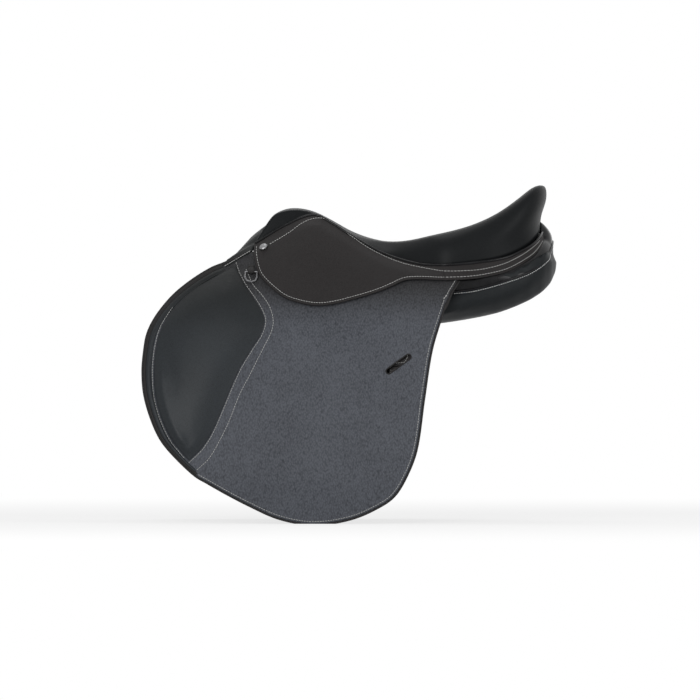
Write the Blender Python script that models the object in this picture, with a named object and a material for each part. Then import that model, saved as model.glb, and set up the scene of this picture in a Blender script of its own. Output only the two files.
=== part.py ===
# All-purpose riding saddle, as the separate pieces it comes apart into on a bench.
# Lengths are written in millimetres and become metres when a mesh is made. +X runs from pommel to
# cantle, +Z is up, and the near (left) side is at -Y. The origin is on the centre line, at the level
# of the lowest padding under the seat, where the saddle bears on the horse's back.

import math

import bmesh
import bpy
import numpy as np
from mathutils import Vector

MM = 0.001

# Seat
stud_x = -142.0          # where the seat's welt starts, at the pommel
turn_x = 140.0           # behind this the outline turns round the cantle
seat_end_x = 284.0       # the welt's rearmost point
cantle_square = 0.6      # how square the cantle is in plan; 1 is an ellipse
pommel_half = 72.0       # half widths of the seat at its welt
twist_half = 60.0
seat_half = 147.0
stud_z = 122.0           # heights of the welt
twist_z = 165.0
waist_z = 91.0
cantle_welt_z = 142.0
pommel_z = 174.5         # heights of the seat's middle line
dip_z = 122.0
cantle_z = 206.0
cover = 2.0              # wall of the seat's cover
foam = 18.0              # padding between cover and tree, thinner at the pommel
dish = 11.0              # rise of the seat's rim above its middle line

# Horse's side, which everything below the welt follows
barrel_half = 213.0      # half width at the lower edge of the flaps
shoulder_half = 190.0    # the same at the front edge of the flaps
barrel_low = -292.0      # level where the side stands upright

# Leather, webbing and clearances
flap_wall = 4.0
skirt_wall = 3.5
sweat_wall = 3.0
strap_wall = 3.4
guard_wall = 2.0
web_wall = 1.5
lining_wall = 2.0
gap = 1.0                # between pieces that lie on each other
swing_gap = 2.2          # outside a swinging strap
fold_gap = 1.2           # between the two sides of a fold

# Flap
flap_front = -307.0
flap_rear = 157.0
flap_top = 110.0
flap_low = -292.0
fold_slope = -0.355      # the flap bends along a line that falls towards the rear
fold_z = 6.0             # level of that line at x = 0
slot_length = 43.0
slot_width = 7.0
slot_x = 72.0
slot_z = -56.0
slot_tilt = 36.0
pad_rise = 13.0          # how far the knee pad stands out of the flap
roll_rise = 8.0          # knee roll under the flap

# Skirt
skirt_low = 31.0
skirt_fold_front = (-131.0, 114.0)
skirt_fold_rear = (64.0, 61.0)

# Tree
tree_wall = 11.0
rail_inner = 0.60        # share of the seat's crest at the rail's inner edge
rail_outer = 0.88
head_front = -118.0
point_front = -128.0
point_rear = -92.0
wing_rear = -24.0
point_low = 22.0         # lower end of the tree's points
tree_inset = 18.0        # from the horse's side to the tree's outer face
plate_wall = 4.0         # steel gullet plate

# Panel
channel_half = 28.0
gullet_half = 44.0       # the same at the withers
panel_front = -168.0
panel_nose = 20.0        # length over which the panel's front end rounds off
panel_end_x = 304.0
panel_gap = 2.8          # between the panel's outer wall and the sweat flap

# Girth straps
strap_width = 25.0
strap_pitch = 42.0
strap_first = -14.0      # x of the first strap
strap_top = 52.0
strap_pivot = 42.0
strap_low = -202.0

# Stirrup bar
bar_x = -68.0            # middle of the bar
bar_z = 98.0
bar_length = 62.0
bar_thick = 8.0
bar_deep = 13.0
bar_reach = 9.0          # clear gap between bar and plate

mesh_step = 24.0         # facet size on the large sheets


def spline(points, at):
    # Height of a smooth curve through points (x, y); straight beyond its ends.
    xs = [p[0] for p in points]
    ys = [p[1] for p in points]
    slopes = []
    for i in range(len(points)):
        a, b = max(i - 1, 0), min(i + 1, len(points) - 1)
        slopes.append((ys[b] - ys[a]) / (xs[b] - xs[a]))
    if at <= xs[0]:
        return ys[0] + slopes[0] * (at - xs[0])
    if at >= xs[-1]:
        return ys[-1] + slopes[-1] * (at - xs[-1])
    i = max(k for k in range(len(xs) - 1) if xs[k] <= at)
    h = xs[i + 1] - xs[i]
    t = (at - xs[i]) / h
    first = (2 * t**3 - 3 * t**2 + 1) * ys[i] + (t**3 - 2 * t**2 + t) * h * slopes[i]
    second = (3 * t**2 - 2 * t**3) * ys[i + 1] + (t**3 - t**2) * h * slopes[i + 1]
    return first + second


def smooth(t):
    t = min(max(t, 0.0), 1.0)
    return t * t * (3 - 2 * t)


def mix(a, b, t):
    return a + (b - a) * t


# The horse's side and the seat's welt. A station s is x up to turn_x, and behind it an angle round
# the cantle, written as a length, so that s = seat_end_x is the rearmost point on the centre line.
def turn_angle(s):
    return (s - turn_x) / (seat_end_x - turn_x) * math.pi / 2


def x_of(s):
    return s if s <= turn_x else turn_x + (seat_end_x - turn_x) * math.sin(turn_angle(s))


def station_of(x):
    share = min((x - turn_x) / (seat_end_x - turn_x), 1.0)
    return x if x <= turn_x else turn_x + (seat_end_x - turn_x) * math.asin(share) / (math.pi / 2)


def rear_station(turn):
    # The station at this share of the way round the cantle, evenly spaced along its outline.
    across = math.cos(turn * math.pi / 2)
    return turn_x + (seat_end_x - turn_x) * math.acos(across ** (1 / cantle_square)) / (math.pi / 2)


rear_stations = [rear_station(k / 10) for k in range(1, 11)]


def welt_z(x):
    return spline([
        (stud_x - 165, stud_z - 84), (stud_x - 80, stud_z - 42), (stud_x - 36, stud_z - 20), (stud_x, stud_z),
        (stud_x + 48, mix(stud_z, twist_z, 0.66)), (stud_x + 88, twist_z), (stud_x + 116, twist_z - 13),
        (0, mix(twist_z, waist_z, 0.40)), (48, mix(twist_z, waist_z, 0.76)), (100, waist_z + 2),
        (turn_x, waist_z), (turn_x + 50, waist_z + 4), (turn_x + 90, waist_z + 11),
        (turn_x + 116, mix(waist_z, cantle_welt_z, 0.44)), (turn_x + 131, mix(waist_z, cantle_welt_z, 0.63)),
        (turn_x + 140, mix(waist_z, cantle_welt_z, 0.84)), (seat_end_x + 1, cantle_welt_z),
    ], x)


def welt_half(x):
    return spline([
        (stud_x - 165, pommel_half + 26), (stud_x - 80, pommel_half + 20), (stud_x, pommel_half),
        (stud_x + 85, twist_half), (0, mix(twist_half, seat_half, 0.18)),
        (50, mix(twist_half, seat_half, 0.44)), (100, mix(twist_half, seat_half, 0.77)), (turn_x, seat_half),
    ], min(x, turn_x))


def side_half(x, z):
    # Half width of the horse's side below the welt: sloping under the seat, steep at the barrel.
    x = min(x, turn_x)
    top = welt_z(x)
    low = spline([(flap_front, shoulder_half), (stud_x - 20, barrel_half - 10), (0, barrel_half),
                  (turn_x, barrel_half)], x)
    depth = min(max((top - z) / (top - barrel_low), -0.1), 1.0)
    return mix(welt_half(x), low, 1 - (1 - depth) ** 2)


def side_base(s, z):
    if s <= turn_x:
        return np.array([s, side_half(s, z), z])
    angle = turn_angle(s)
    drop = welt_z(x_of(s)) - welt_z(turn_x)
    half = side_half(turn_x, z - drop)
    grow = (half - seat_half) * (1 - 0.6 * math.sin(angle))
    across = math.copysign(abs(math.cos(angle)) ** cantle_square, math.cos(angle))
    return np.array([turn_x + (seat_end_x - turn_x + grow) * math.sin(angle), (seat_half + grow) * across, z])


def side_normal(s, z):
    d = 1.5
    along = side_base(s + d, z) - side_base(s - d, z)
    up = side_base(s, z + d) - side_base(s, z - d)
    n = np.cross(up, along)
    if s <= turn_x:
        n[0] = 0.0
    return n / np.linalg.norm(n)


def side_point(s, z, out=0.0):
    # A point this far out of the near side's surface, at the same height, with y positive.
    level = side_normal(s, z) * [1, 1, 0]
    return side_base(s, z) + level / level.dot(level) * out


# Offsets of the sheets from the horse's side.
strap_out = sweat_wall + web_wall + 2 * gap
guard_out = strap_out + strap_wall + swing_gap
flap_full_out = guard_out + guard_wall + gap
web_full_out = sweat_wall + gap
lift_depth = 60.0


def web_out(s, z):
    return mix(1.2, web_full_out, smooth((welt_z(x_of(s)) - z) / lift_depth))


def flap_out(s, z):
    # Inner face of the flap: close to the tree at its top, clear of the straps below.
    full = mix(flap_full_out * 0.5, flap_full_out, smooth((z - flap_low) / 70))
    return mix(4.5, full, smooth((welt_z(x_of(s)) - z) / lift_depth))


def skirt_out(s, z):
    depth = welt_z(x_of(s)) - z
    on_flap = smooth((turn_x + 42 - s) / 30)
    over = mix(1.5, flap_out(s, z) + flap_wall + 2 * gap, on_flap)
    return mix(0.8, over, smooth(depth / 18))


# Seat
def middle_z(x):
    return spline([
        (stud_x + 5, pommel_z - 26), (stud_x + 28, pommel_z - 6.5), (stud_x + 58, pommel_z),
        (stud_x + 88, pommel_z - 5), (stud_x + 122, mix(dip_z, pommel_z, 0.58)),
        (0, mix(dip_z, pommel_z, 0.36)),
        (32, dip_z + 7), (75, dip_z), (turn_x - 20, dip_z + 2), (turn_x + 20, dip_z + 8),
        (turn_x + 50, dip_z + 16),
        (turn_x + 80, dip_z + 29), (turn_x + 110, mix(dip_z, cantle_z, 0.61)),
        (seat_end_x - 16, mix(dip_z, cantle_z, 0.84)),
        (seat_end_x - 2, cantle_z), (seat_end_x + 14, cantle_z + 13),
    ], x)


def rim_rise(x):
    return spline([
        (stud_x, -8), (0, -8), (75, dish * 0.3), (turn_x - 10, dish * 0.7), (turn_x + 50, dish),
        (turn_x + 105, dish * 1.6), (seat_end_x, dish * 2.6),
    ], x)


def seat_top(x, y):
    return middle_z(x) + rim_rise(x) * (y / 100) ** 2


def foam_depth(x):
    return foam * mix(0.35, 1.0, smooth((x - stud_x - 60) / 110))


seat_core = np.array([50.0, 0.0])


def half_edge():
    # One half of the seat's edge, from the middle of the pommel to the middle of the cantle, and
    # how far out of the seat's middle the top rounds over into the side there.
    edge = [
        (np.array([stud_x + 40, 0.0, pommel_z - 9]), 0.93),
        (np.array([stud_x + 31, 0.36 * pommel_half, pommel_z - 14]), 0.92),
        (np.array([stud_x + 16, 0.70 * pommel_half, stud_z + 24]), 0.90),
        (np.array([stud_x + 4, 0.92 * pommel_half, stud_z + 7]), 0.88),
    ]
    for s in [mix(stud_x, turn_x, k / 13) for k in range(14)] + rear_stations:
        t = (s - stud_x) / (seat_end_x - stud_x)
        p = side_base(s, welt_z(x_of(s)))
        share = spline([(0, 0.86), (0.2, 0.80), (0.45, 0.74), (0.7, 0.80), (0.88, 0.93), (1, 0.985)], t)
        edge.append((p, share))
    edge[-1][0][1] = 0.0
    made = []
    for i, (p, share) in enumerate(edge):
        before = edge[i - 1][0] if i else edge[1][0] * [1, -1, 1]
        after = edge[i + 1][0] if i < len(edge) - 1 else edge[-2][0] * [1, -1, 1]
        along = after - before
        inward = np.array([along[1], -along[0]]) / math.hypot(along[0], along[1])
        to_core = (seat_core - p[:2]) / np.linalg.norm(seat_core - p[:2])
        made.append((p, share, np.array([*to_core, 0]) / max(inward.dot(to_core), 0.5)))
    return made


def seat_profile(edge, share, inward, inset, rows=5, wall_rows=4):
    # Points from the seat's middle to its edge: across the top, over the crest and down the side.
    flat = edge[:2] - seat_core
    made = [np.array([*seat_core, seat_top(*seat_core) - inset(seat_core[0])])]
    for k in range(1, rows + 1):
        p = seat_core + flat * share * k / rows
        made.append(np.array([p[0], p[1], seat_top(*p) - inset(p[0])]))
    crest = made[-1]
    flare = smooth((share - 0.80) / 0.18) if edge[0] > 0 else 0.0
    p = seat_core + flat * mix(1.0, 1.085, flare)
    over_z = max(min(seat_top(*p), crest[2] + 18) - mix(16, 0, flare), edge[2] + 2)
    depth = inset(edge[0])
    wall = min(depth, cover + gap + 0.55 * (depth - cover - gap)) if depth > cover + gap else depth
    end = edge + inward * wall
    end[2] = min(end[2] - 0.1 * depth, seat_top(end[0], end[1]) - depth)
    over = np.array([p[0], p[1], max(over_z - depth, end[2])]) + inward * wall
    for k in range(1, wall_rows + 1):
        t = k / wall_rows
        made.append((1 - t) ** 2 * crest + 2 * t * (1 - t) * over + t * t * end)
    return made


def whole(half_rows):
    # Rows of the near half and their mirror images, in order round the piece.
    far = [[p * np.array([1, -1, 1]) for p in row] for row in half_rows[-2:0:-1]]
    return half_rows + far


def seat_rows(inset):
    return whole([seat_profile(*spot, inset) for spot in half_edge()])


# Mesh makers
GRAINED = ((0.055, 0.056, 0.062), 0.62)
SMOOTH = ((0.030, 0.032, 0.034), 0.40)
PLAIN = ((0.022, 0.022, 0.024), 0.55)
GLOSSY = ((0.008, 0.008, 0.009), 0.18)
STEEL = ((0.62, 0.62, 0.63), 0.28, 1.0)
WOOD = ((0.50, 0.34, 0.19), 0.6)
FOAM = ((0.62, 0.60, 0.52), 0.9)
WEBBING = ((0.20, 0.19, 0.17), 0.85)


def new_object(name, bm, look):
    bmesh.ops.remove_doubles(bm, verts=bm.verts, dist=1e-6)
    bmesh.ops.recalc_face_normals(bm, faces=bm.faces)
    if bm.calc_volume(signed=True) < 0:
        bmesh.ops.reverse_faces(bm, faces=bm.faces)
    mesh = bpy.data.meshes.new(name)
    bm.to_mesh(mesh)
    bm.free()
    obj = bpy.data.objects.new(name, mesh)
    bpy.context.scene.collection.objects.link(obj)
    mesh.shade_smooth()
    mesh.set_sharp_from_angle(angle=math.radians(40))
    material = bpy.data.materials.new(name)
    material.use_nodes = True
    shader = material.node_tree.nodes["Principled BSDF"]
    shader.inputs["Base Color"].default_value = (*look[0], 1)
    shader.inputs["Roughness"].default_value = look[1]
    shader.inputs["Metallic"].default_value = look[2] if len(look) > 2 else 0.0
    mesh.materials.append(material)
    return obj


def flip(points, side):
    return [[np.array(p) * np.array([1, side, 1]) for p in row] for row in points]


def shell(name, outer, inner, look, wrap=False, closed_start=True):
    # The solid between two grids of points. wrap joins its last row to the first. closed_start is
    # False where all rows start at one point.
    bm = bmesh.new()
    grids = [[[bm.verts.new(Vector(p) * MM) for p in row] for row in grid] for grid in (outer, inner)]
    count = len(outer)
    spans = count if wrap else count - 1
    last = len(outer[0]) - 1
    a, b = grids
    for i in range(spans):
        j = (i + 1) % count
        for grid in grids:
            for k in range(last):
                corners = (grid[i][k], grid[i][k + 1], grid[j][k + 1], grid[j][k])
                bm.faces.new(corners)
        bm.faces.new((a[i][last], b[i][last], b[j][last], a[j][last]))
        if closed_start:
            bm.faces.new((a[i][0], b[i][0], b[j][0], a[j][0]))
    if not wrap:
        for i in (0, count - 1):
            for k in range(last):
                bm.faces.new((a[i][k], a[i][k + 1], b[i][k + 1], b[i][k]))
    return new_object(name, bm, look)


def loft(name, sections, look, closed_path=False):
    # A solid through closed sections, capped at both ends unless the path closes on itself.
    bm = bmesh.new()
    rings = [[bm.verts.new(Vector(p) * MM) for p in section] for section in sections]
    count = len(rings)
    for i in range(count if closed_path else count - 1):
        a, b = rings[i], rings[(i + 1) % count]
        for j in range(len(a)):
            k = (j + 1) % len(a)
            bm.faces.new((a[j], a[k], b[k], b[j]))
    if not closed_path:
        for end in (rings[0], rings[-1]):
            bm.faces.new(end)
    bm.normal_update()
    bmesh.ops.triangulate(bm, faces=[f for f in bm.faces if len(f.verts) > 4])
    return new_object(name, bm, look)


def tube(name, path, radius, look, sides=8, closed_path=False):
    path = [np.array(p, float) for p in path]
    count = len(path)
    sections = []
    for i, p in enumerate(path):
        before = path[(i - 1) % count] if closed_path or i else p
        after = path[(i + 1) % count] if closed_path or i < count - 1 else p
        forward = Vector(after - before).normalized()
        across = forward.cross(Vector((0, 0, 1)) if abs(forward.z) < 0.9 else Vector((1, 0, 0))).normalized()
        up = across.cross(forward)
        r = radius[i] if isinstance(radius, list) else radius
        turn = [2 * math.pi * k / sides for k in range(sides)]
        sections.append([np.array(Vector(p) + (across * math.cos(a) + up * math.sin(a)) * r) for a in turn])
    return loft(name, sections, look, closed_path)


def under_face(s, z, out, wall):
    # The point this wall's thickness below a face that stands out of the side.
    return side_point(s, z, out + wall) - side_normal(s, z) * wall


def sheet(name, outline, inner, thickness, look, side, step=mesh_step, holes=(), square=False):
    # A sheet of leather that follows the horse's side. Its outline and holes are in station and
    # height. inner(s, z) is how far its inner face stands out of the side. Its edges are level, or
    # square to its face.
    bm = bmesh.new()
    for loop in (outline, *holes):
        verts = [bm.verts.new((s, 0, z)) for s, z in loop]
        for i, v in enumerate(verts):
            bm.edges.new((v, verts[(i + 1) % len(verts)]))
    bmesh.ops.triangle_fill(bm, use_beauty=True, use_dissolve=False, edges=bm.edges)
    low, high = np.min(outline, axis=0), np.max(outline, axis=0)
    for axis, normal in ((0, (1, 0, 0)), (1, (0, 0, 1))):
        for k in range(math.ceil(low[axis] / step), math.floor(high[axis] / step) + 1):
            place = [0.0, 0.0, 0.0]
            place[2 * axis] = k * step
            everything = bm.verts[:] + bm.edges[:] + bm.faces[:]
            bmesh.ops.bisect_plane(bm, geom=everything, plane_co=place, plane_no=normal, dist=1.0)
    extra = [e for e in bm.edges if is_extra(e, step)]
    bmesh.ops.dissolve_limit(bm, angle_limit=0.01, verts=bm.verts, edges=extra)
    bmesh.ops.triangulate(bm, faces=bm.faces)
    bm.verts.index_update()
    spots = [(station_of(v.co.x), v.co.z) for v in bm.verts]
    triangles = [[v.index for v in f.verts] for f in bm.faces]
    rim = [[v.index for v in e.verts] for e in bm.edges if e.is_boundary]
    bm.free()
    made = bmesh.new()
    layers = []
    for top in (False, True):
        layer = []
        for s, z in spots:
            wall = thickness(s, z) if callable(thickness) else thickness
            p = side_point(s, z, inner(s, z) + (wall if top else 0.0))
            if square and not top:
                p = under_face(s, z, inner(s, z), wall)
            layer.append(made.verts.new((p[0] * MM, p[1] * MM * side, p[2] * MM)))
        layers.append(layer)
    for t in triangles:
        made.faces.new([layers[0][i] for i in t])
        made.faces.new([layers[1][i] for i in reversed(t)])
    for a, b in rim:
        made.faces.new((layers[0][a], layers[0][b], layers[1][b], layers[1][a]))
    return new_object(name, made, look)


def is_extra(edge, step):
    # A slanting edge inside a sheet, left by its first triangles.
    if edge.is_boundary:
        return False
    a, b = edge.verts[0].co, edge.verts[1].co
    return abs(a.x - b.x) > 0.01 and abs(a.z - b.z) > 0.01


def clip(outline, line, below=True):
    # The part of a closed outline below, or above, the line z = line(s).
    made = []
    for i, a in enumerate(outline):
        b = outline[(i + 1) % len(outline)]
        da, db = a[1] - line(a[0]), b[1] - line(b[0])
        if not below:
            da, db = -da, -db
        if da <= 0:
            made.append(a)
        if da * db < 0:
            t = da / (da - db)
            made.append((mix(a[0], b[0], t), mix(a[1], b[1], t)))
    return made


def join(name, base, other):
    cut = base.modifiers.new("Join", "BOOLEAN")
    cut.operation = "UNION"
    cut.object = other
    other.hide_render = True
    other.display_type = "WIRE"
    base.name = name
    return base


def hang(obj, spot, side):
    # Puts the object's origin on the line it turns about, leaving its shape where it is.
    place = Vector((spot[0], spot[1] * side, spot[2])) * MM
    for v in obj.data.vertices:
        v.co -= place
    obj.location = place


sides = ((-1, "left"), (1, "right"))


def clear_scene():
    for obj in list(bpy.data.objects):
        bpy.data.objects.remove(obj, do_unlink=True)


# The seat's own pieces
def make_seat():
    outer = seat_rows(lambda x: 0.0)
    shell("seat_cover", outer, seat_rows(lambda x: cover), PLAIN, wrap=True, closed_start=False)
    top = seat_rows(lambda x: cover + gap)
    under = seat_rows(lambda x: cover + gap + foam_depth(x))
    shell("seat_foam", top, under, FOAM, wrap=True, closed_start=False)


def tree_top_inset(x):
    return cover + foam_depth(x) + web_wall + 5 * gap


arch_levels = (45, 68, 92, 112)
head_shares = (0.72, 0.40)


def make_tree():
    rows = []
    for edge, share, _ in half_edge():
        flat = edge[:2] - seat_core
        section = []
        for reach in (rail_inner, 0.5 * (rail_inner + rail_outer), rail_outer):
            p = seat_core + flat * share * reach
            section.append(np.array([*p, seat_top(*p) - tree_top_inset(p[0])]))
        section += [p - np.array([0, 0, tree_wall]) for p in section[::-1]]
        rows.append(section)
    rails = loft("tree_rails", whole(rows), WOOD, closed_path=True)
    sections = []
    half = []
    for z in (point_low, *arch_levels):
        rear = mix(point_rear, wing_rear, smooth((z - 60) / 22))
        half.append(arch_section(z, point_front, rear, mix(4, tree_wall, smooth((z - point_low) / 40))))
    top = []
    for share in head_shares:
        top.append(over_section(share * twist_half))
    middle = over_section(0.0)
    near = half + top
    far = [[p * np.array([1, -1, 1]) for p in section] for section in near[::-1]]
    arch = loft("tree", near + [middle] + far, WOOD)
    join("tree", arch, rails)


def arch_section(z, front, rear, wall):
    xs = [front, min(point_rear, rear - 1), rear]
    outer = [side_point(x, z, -tree_inset) for x in xs]
    inner = [side_point(x, z, -tree_inset - wall) for x in xs[::-1]]
    return outer + inner


def over_section(y):
    xs = [head_front, point_rear, wing_rear]
    outer = [np.array([x, y, head_z(x, y)]) for x in xs]
    return outer + [p - np.array([0, 0, tree_wall]) for p in outer[::-1]]


# Leather below the seat
def skirt_low_z(x):
    return spline([
        (stud_x + 1.5, stud_z - 17), (stud_x + 4, stud_z - 32), (stud_x + 10, stud_z - 47),
        (stud_x + 24, mix(skirt_low, 60, 0.98)), (stud_x + 44, skirt_low + 12), (stud_x + 68, skirt_low + 4),
        (stud_x + 94, skirt_low), (stud_x + 116, skirt_low + 2), (stud_x + 149, skirt_low + 10),
        (40, skirt_low + 20), (62, skirt_low + 29), (80, waist_z - 23), (100, waist_z - 21),
        (turn_x, waist_z - 22), (turn_x + 40, waist_z - 20), (turn_x + 70, waist_z - 15),
        (turn_x + 93, waist_z - 8), (turn_x + 116, waist_z + 5), (turn_x + 131, waist_z + 17), (seat_end_x, waist_z + 36),
    ], x)


def fold_line(front, rear):
    return lambda x: front[1] + (rear[1] - front[1]) * (x - front[0]) / (rear[0] - front[0])


skirt_fold = fold_line(skirt_fold_front, skirt_fold_rear)


def flap_fold(x):
    return fold_z + fold_slope * x


def hinge_of(line, ends, face, square):
    # A straight line over a fold, from end to end, moved out until the leather's face is inside it.
    low, high = (side_point(x, line(x), face(x, line(x))) for x in ends)
    away = 0.0
    for k in range(1, 12):
        x = mix(*ends, k / 12)
        p = side_point(x, line(x), face(x, line(x)))
        t = (p[0] - low[0]) / (high[0] - low[0])
        away = max(away, p[1] - mix(low[1], high[1], t))
    x = 0.5 * (ends[0] + ends[1])
    normal = side_normal(x, line(x)) if square else np.array([0.0, 1.0, 0.0])
    shift = normal * (away * normal[1] + 0.5)
    return low + shift, high + shift


def flap_face(s, z):
    return flap_out(s, z) + flap_wall


skirt_hinge = hinge_of(skirt_fold, (-138, 60), lambda s, z: skirt_out(s, z) + skirt_wall, True)
flap_hinge = hinge_of(flap_fold, (-209, 119), flap_face, False)


def make_skirts():
    lobe = [(stud_x + 2, stud_z - 7)]
    lobe += [(x, skirt_low_z(x)) for x in (stud_x + 1.5, stud_x + 4, stud_x + 10, stud_x + 24, stud_x + 44,
                                           stud_x + 68, stud_x + 94, stud_x + 116, stud_x + 149, 28, 48, 64)]
    lobe += [(x, welt_z(x) - 4) for x in (64, 50, 24, 0, -26, -42, -54, -67, -90, -112, -130)]
    for side, word in sides:
        moving = clip(lobe, lambda x: skirt_fold(x) - fold_gap / 2)
        leather = sheet(f"skirt_lobe_{word}", moving, skirt_out, skirt_wall, PLAIN, side, square=True)
        hang(leather, skirt_hinge[0], side)
        rows = []
        stations = [stud_x + 2, -130, -112, -90, -67, -54, -42, -26, 0, 24, 50, 64, 80, 100, 120]
        stations += [turn_x, turn_x + 12] + rear_stations[:-1] + [seat_end_x - 3]
        for s in stations:
            x = x_of(s)
            high = welt_z(x) - 4
            low = skirt_low_z(x)
            if x <= skirt_fold_rear[0]:
                low = max(low, skirt_fold(x) + fold_gap / 2)
            row = [mix(high, low, k / 3) for k in range(4)]
            rows.append([(s, z) for z in row])
        outer = [[side_point(s, z, skirt_out(s, z) + skirt_wall) for s, z in row] for row in rows]
        inner = [[under_face(s, z, skirt_out(s, z), skirt_wall) for s, z in row] for row in rows]
        shell(f"skirt_band_{word}", flip(outer, side), flip(inner, side), PLAIN)


flap_outline = [
    (flap_rear, 64), (147, 48), (134, 11), (120, -37), (109, -107), (98, -182), (83, -222), (64, -252),
    (37, -270), (4, -284), (-36, flap_low), (-69, flap_low), (-109, -283), (-145, -267), (-182, -248),
    (-212, -231), (-229, -221), (-258, -194), (-279, -169), (-293, -140), (-304, -103), (flap_front, -69),
    (-305, -40), (-300, -12), (-287, 14), (-264, 42), (-236, 65), (-207, 83), (-186, 90), (-160, 102),
    (-147, flap_top - 1), (-141, flap_top - 10),
]


def flap_shape():
    top = [(x, welt_z(x) - 25) for x in (-130, -112, -90, -67, -54, -42, -26, 0, 24, 50)]
    top += [(x, welt_z(x) - 17.5) for x in (86, 112, 140)]
    return flap_outline + top + [(152, 72)]


def slot_shape(steps=4):
    # A slot with round ends, rising to the rear.
    made = []
    tilt = math.radians(slot_tilt)
    for end in (1, -1):
        for k in range(steps + 1):
            a = -math.pi / 2 + math.pi * k / steps
            u = end * (slot_length - slot_width) / 2 + end * math.cos(a) * slot_width / 2
            v = end * math.sin(a) * slot_width / 2
            made.append((slot_x + u * math.cos(tilt) - v * math.sin(tilt),
                         slot_z + u * math.sin(tilt) + v * math.cos(tilt)))
    return made


pad_rear = [(-176, 86), (-164, 74), (-153, 57), (-139, 38), (-129, 22), (-125, 8), (-130, -12), (-144, -35),
            (-161, -63), (-176, -95), (-190, -129), (-204, -160), (-219, -183), (-238, -202)]
pad_front = [(-258, -186), (-275, -163), (-287, -137), (-296, -103), (-299, -69), (-297, -40), (-291, -10),
             (-279, 14), (-258, 39), (-232, 60), (-204, 77)]


def distance_to(outline, s, z):
    best = 1e9
    for i, a in enumerate(outline):
        b = outline[(i + 1) % len(outline)]
        dx, dz = b[0] - a[0], b[1] - a[1]
        t = min(max(((s - a[0]) * dx + (z - a[1]) * dz) / (dx * dx + dz * dz), 0), 1)
        best = min(best, math.hypot(s - a[0] - t * dx, z - a[1] - t * dz))
    return best


def make_flaps():
    shape = flap_shape()
    # The opening in the flap's head through which the stirrup bar stands out.
    reach = bar_length / 2 + 6
    window = [
        (bar_x - reach, bar_z - 22), (bar_x - reach, bar_z + 18),
        (bar_x + reach, bar_z + 18), (bar_x + reach, bar_z - 22),
    ]
    for side, word in sides:
        moving = clip(shape, lambda x: flap_fold(x) - fold_gap / 2)
        leather = sheet(f"flap_{word}", moving, flap_out, flap_wall, GRAINED, side, holes=[slot_shape()])
        hang(leather, flap_hinge[0], side)
        fixed = clip(shape, lambda x: flap_fold(x) + fold_gap / 2, below=False)
        sheet(f"flap_head_{word}", fixed, flap_out, flap_wall, GRAINED, side, holes=[window])
        pad = clip(pad_rear + pad_front, lambda x: flap_fold(x) - 4)

        def rise(s, z):
            inside = distance_to(pad, s, z)
            return 3 + (pad_rise - 3) * math.sin(min(inside / 45, 1) * math.pi / 2)

        cushion = sheet(f"knee_pad_{word}", pad, lambda s, z: flap_face(s, z) + gap, rise, SMOOTH, side, 16)
        hang(cushion, flap_hinge[0], side)


sweat_outline = [
    (132, 52), (124, 11), (110, -37), (100, -107), (88, -172), (66, -222), (24, -246), (-36, -256),
    (-100, -250), (-165, -226), (-215, -190), (-250, -145), (-268, -95), (-266, -40), (-244, 10), (-206, 44),
    (-172, 60), (-140, 62), (-90, 62), (0, 62), (80, 57), (120, 55),
]


def make_sweat_flaps():
    for side, word in sides:
        sheet(f"sweat_flap_{word}", sweat_outline, lambda s, z: 0.0, sweat_wall, PLAIN, side, 28)
        roll = [(-150, 36), (-138, 8), (-150, -30), (-172, -72), (-192, -118), (-212, -150), (-232, -148),
                (-244, -112), (-248, -70), (-244, -30), (-228, 4), (-196, 32)]

        def rise(s, z):
            return 2 + (roll_rise - 2) * math.sin(min(distance_to(roll, s, z) / 26, 1) * math.pi / 2)

        sheet(f"knee_roll_{word}", roll, lambda s, z: sweat_wall + gap, rise, SMOOTH, side, 20)


# Panel
def panel_low(x):
    return spline([
        (-152, 46), (-120, 30), (-60, 12), (0, 2), (60, 0), (turn_x, 5), (turn_x + 50, 13),
        (turn_x + 80, 19), (turn_x + 103, 27), (turn_x + 126, 38.5), (turn_x + 142, 50), (turn_x + 156, 66),
        (panel_end_x, 87),
    ], x)


def panel_seam(x):
    return spline([
        (-152, 62), (-60, 62), (0, 58), (60, 52), (turn_x, 47), (turn_x + 26, 53), (turn_x + 56, 61),
        (turn_x + 92, 72), (turn_x + 116, 84), (turn_x + 134, 100), (turn_x + 150, 112), (panel_end_x, 107),
    ], x)


def panel_half(x, z):
    # Half width of the panels' outer wall, which rounds off behind the seat.
    if x <= turn_x:
        return side_half(x, z) - panel_gap
    along = min((x - turn_x) / (panel_end_x + 1.0 - turn_x), 1.0)
    level = mix(z, 40, smooth((x - turn_x) / 60))
    return (side_half(turn_x, level) - panel_gap) * (1 - along**2) ** (cantle_square / 2)


def panel_inner(x):
    # Half width of the channel over the horse's spine, which widens towards the withers.
    return mix(channel_half, gullet_half, smooth((-20 - x) / 110))


def panel_reach(x):
    # How far the panel's outer edge hangs below its cushion.
    rear = 64 * smooth((turn_x + 10 - x) / 150)
    front = 48 * smooth((-20 - x) / 90)
    return (rear + front) * smooth((x - panel_front) / 40)


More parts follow.
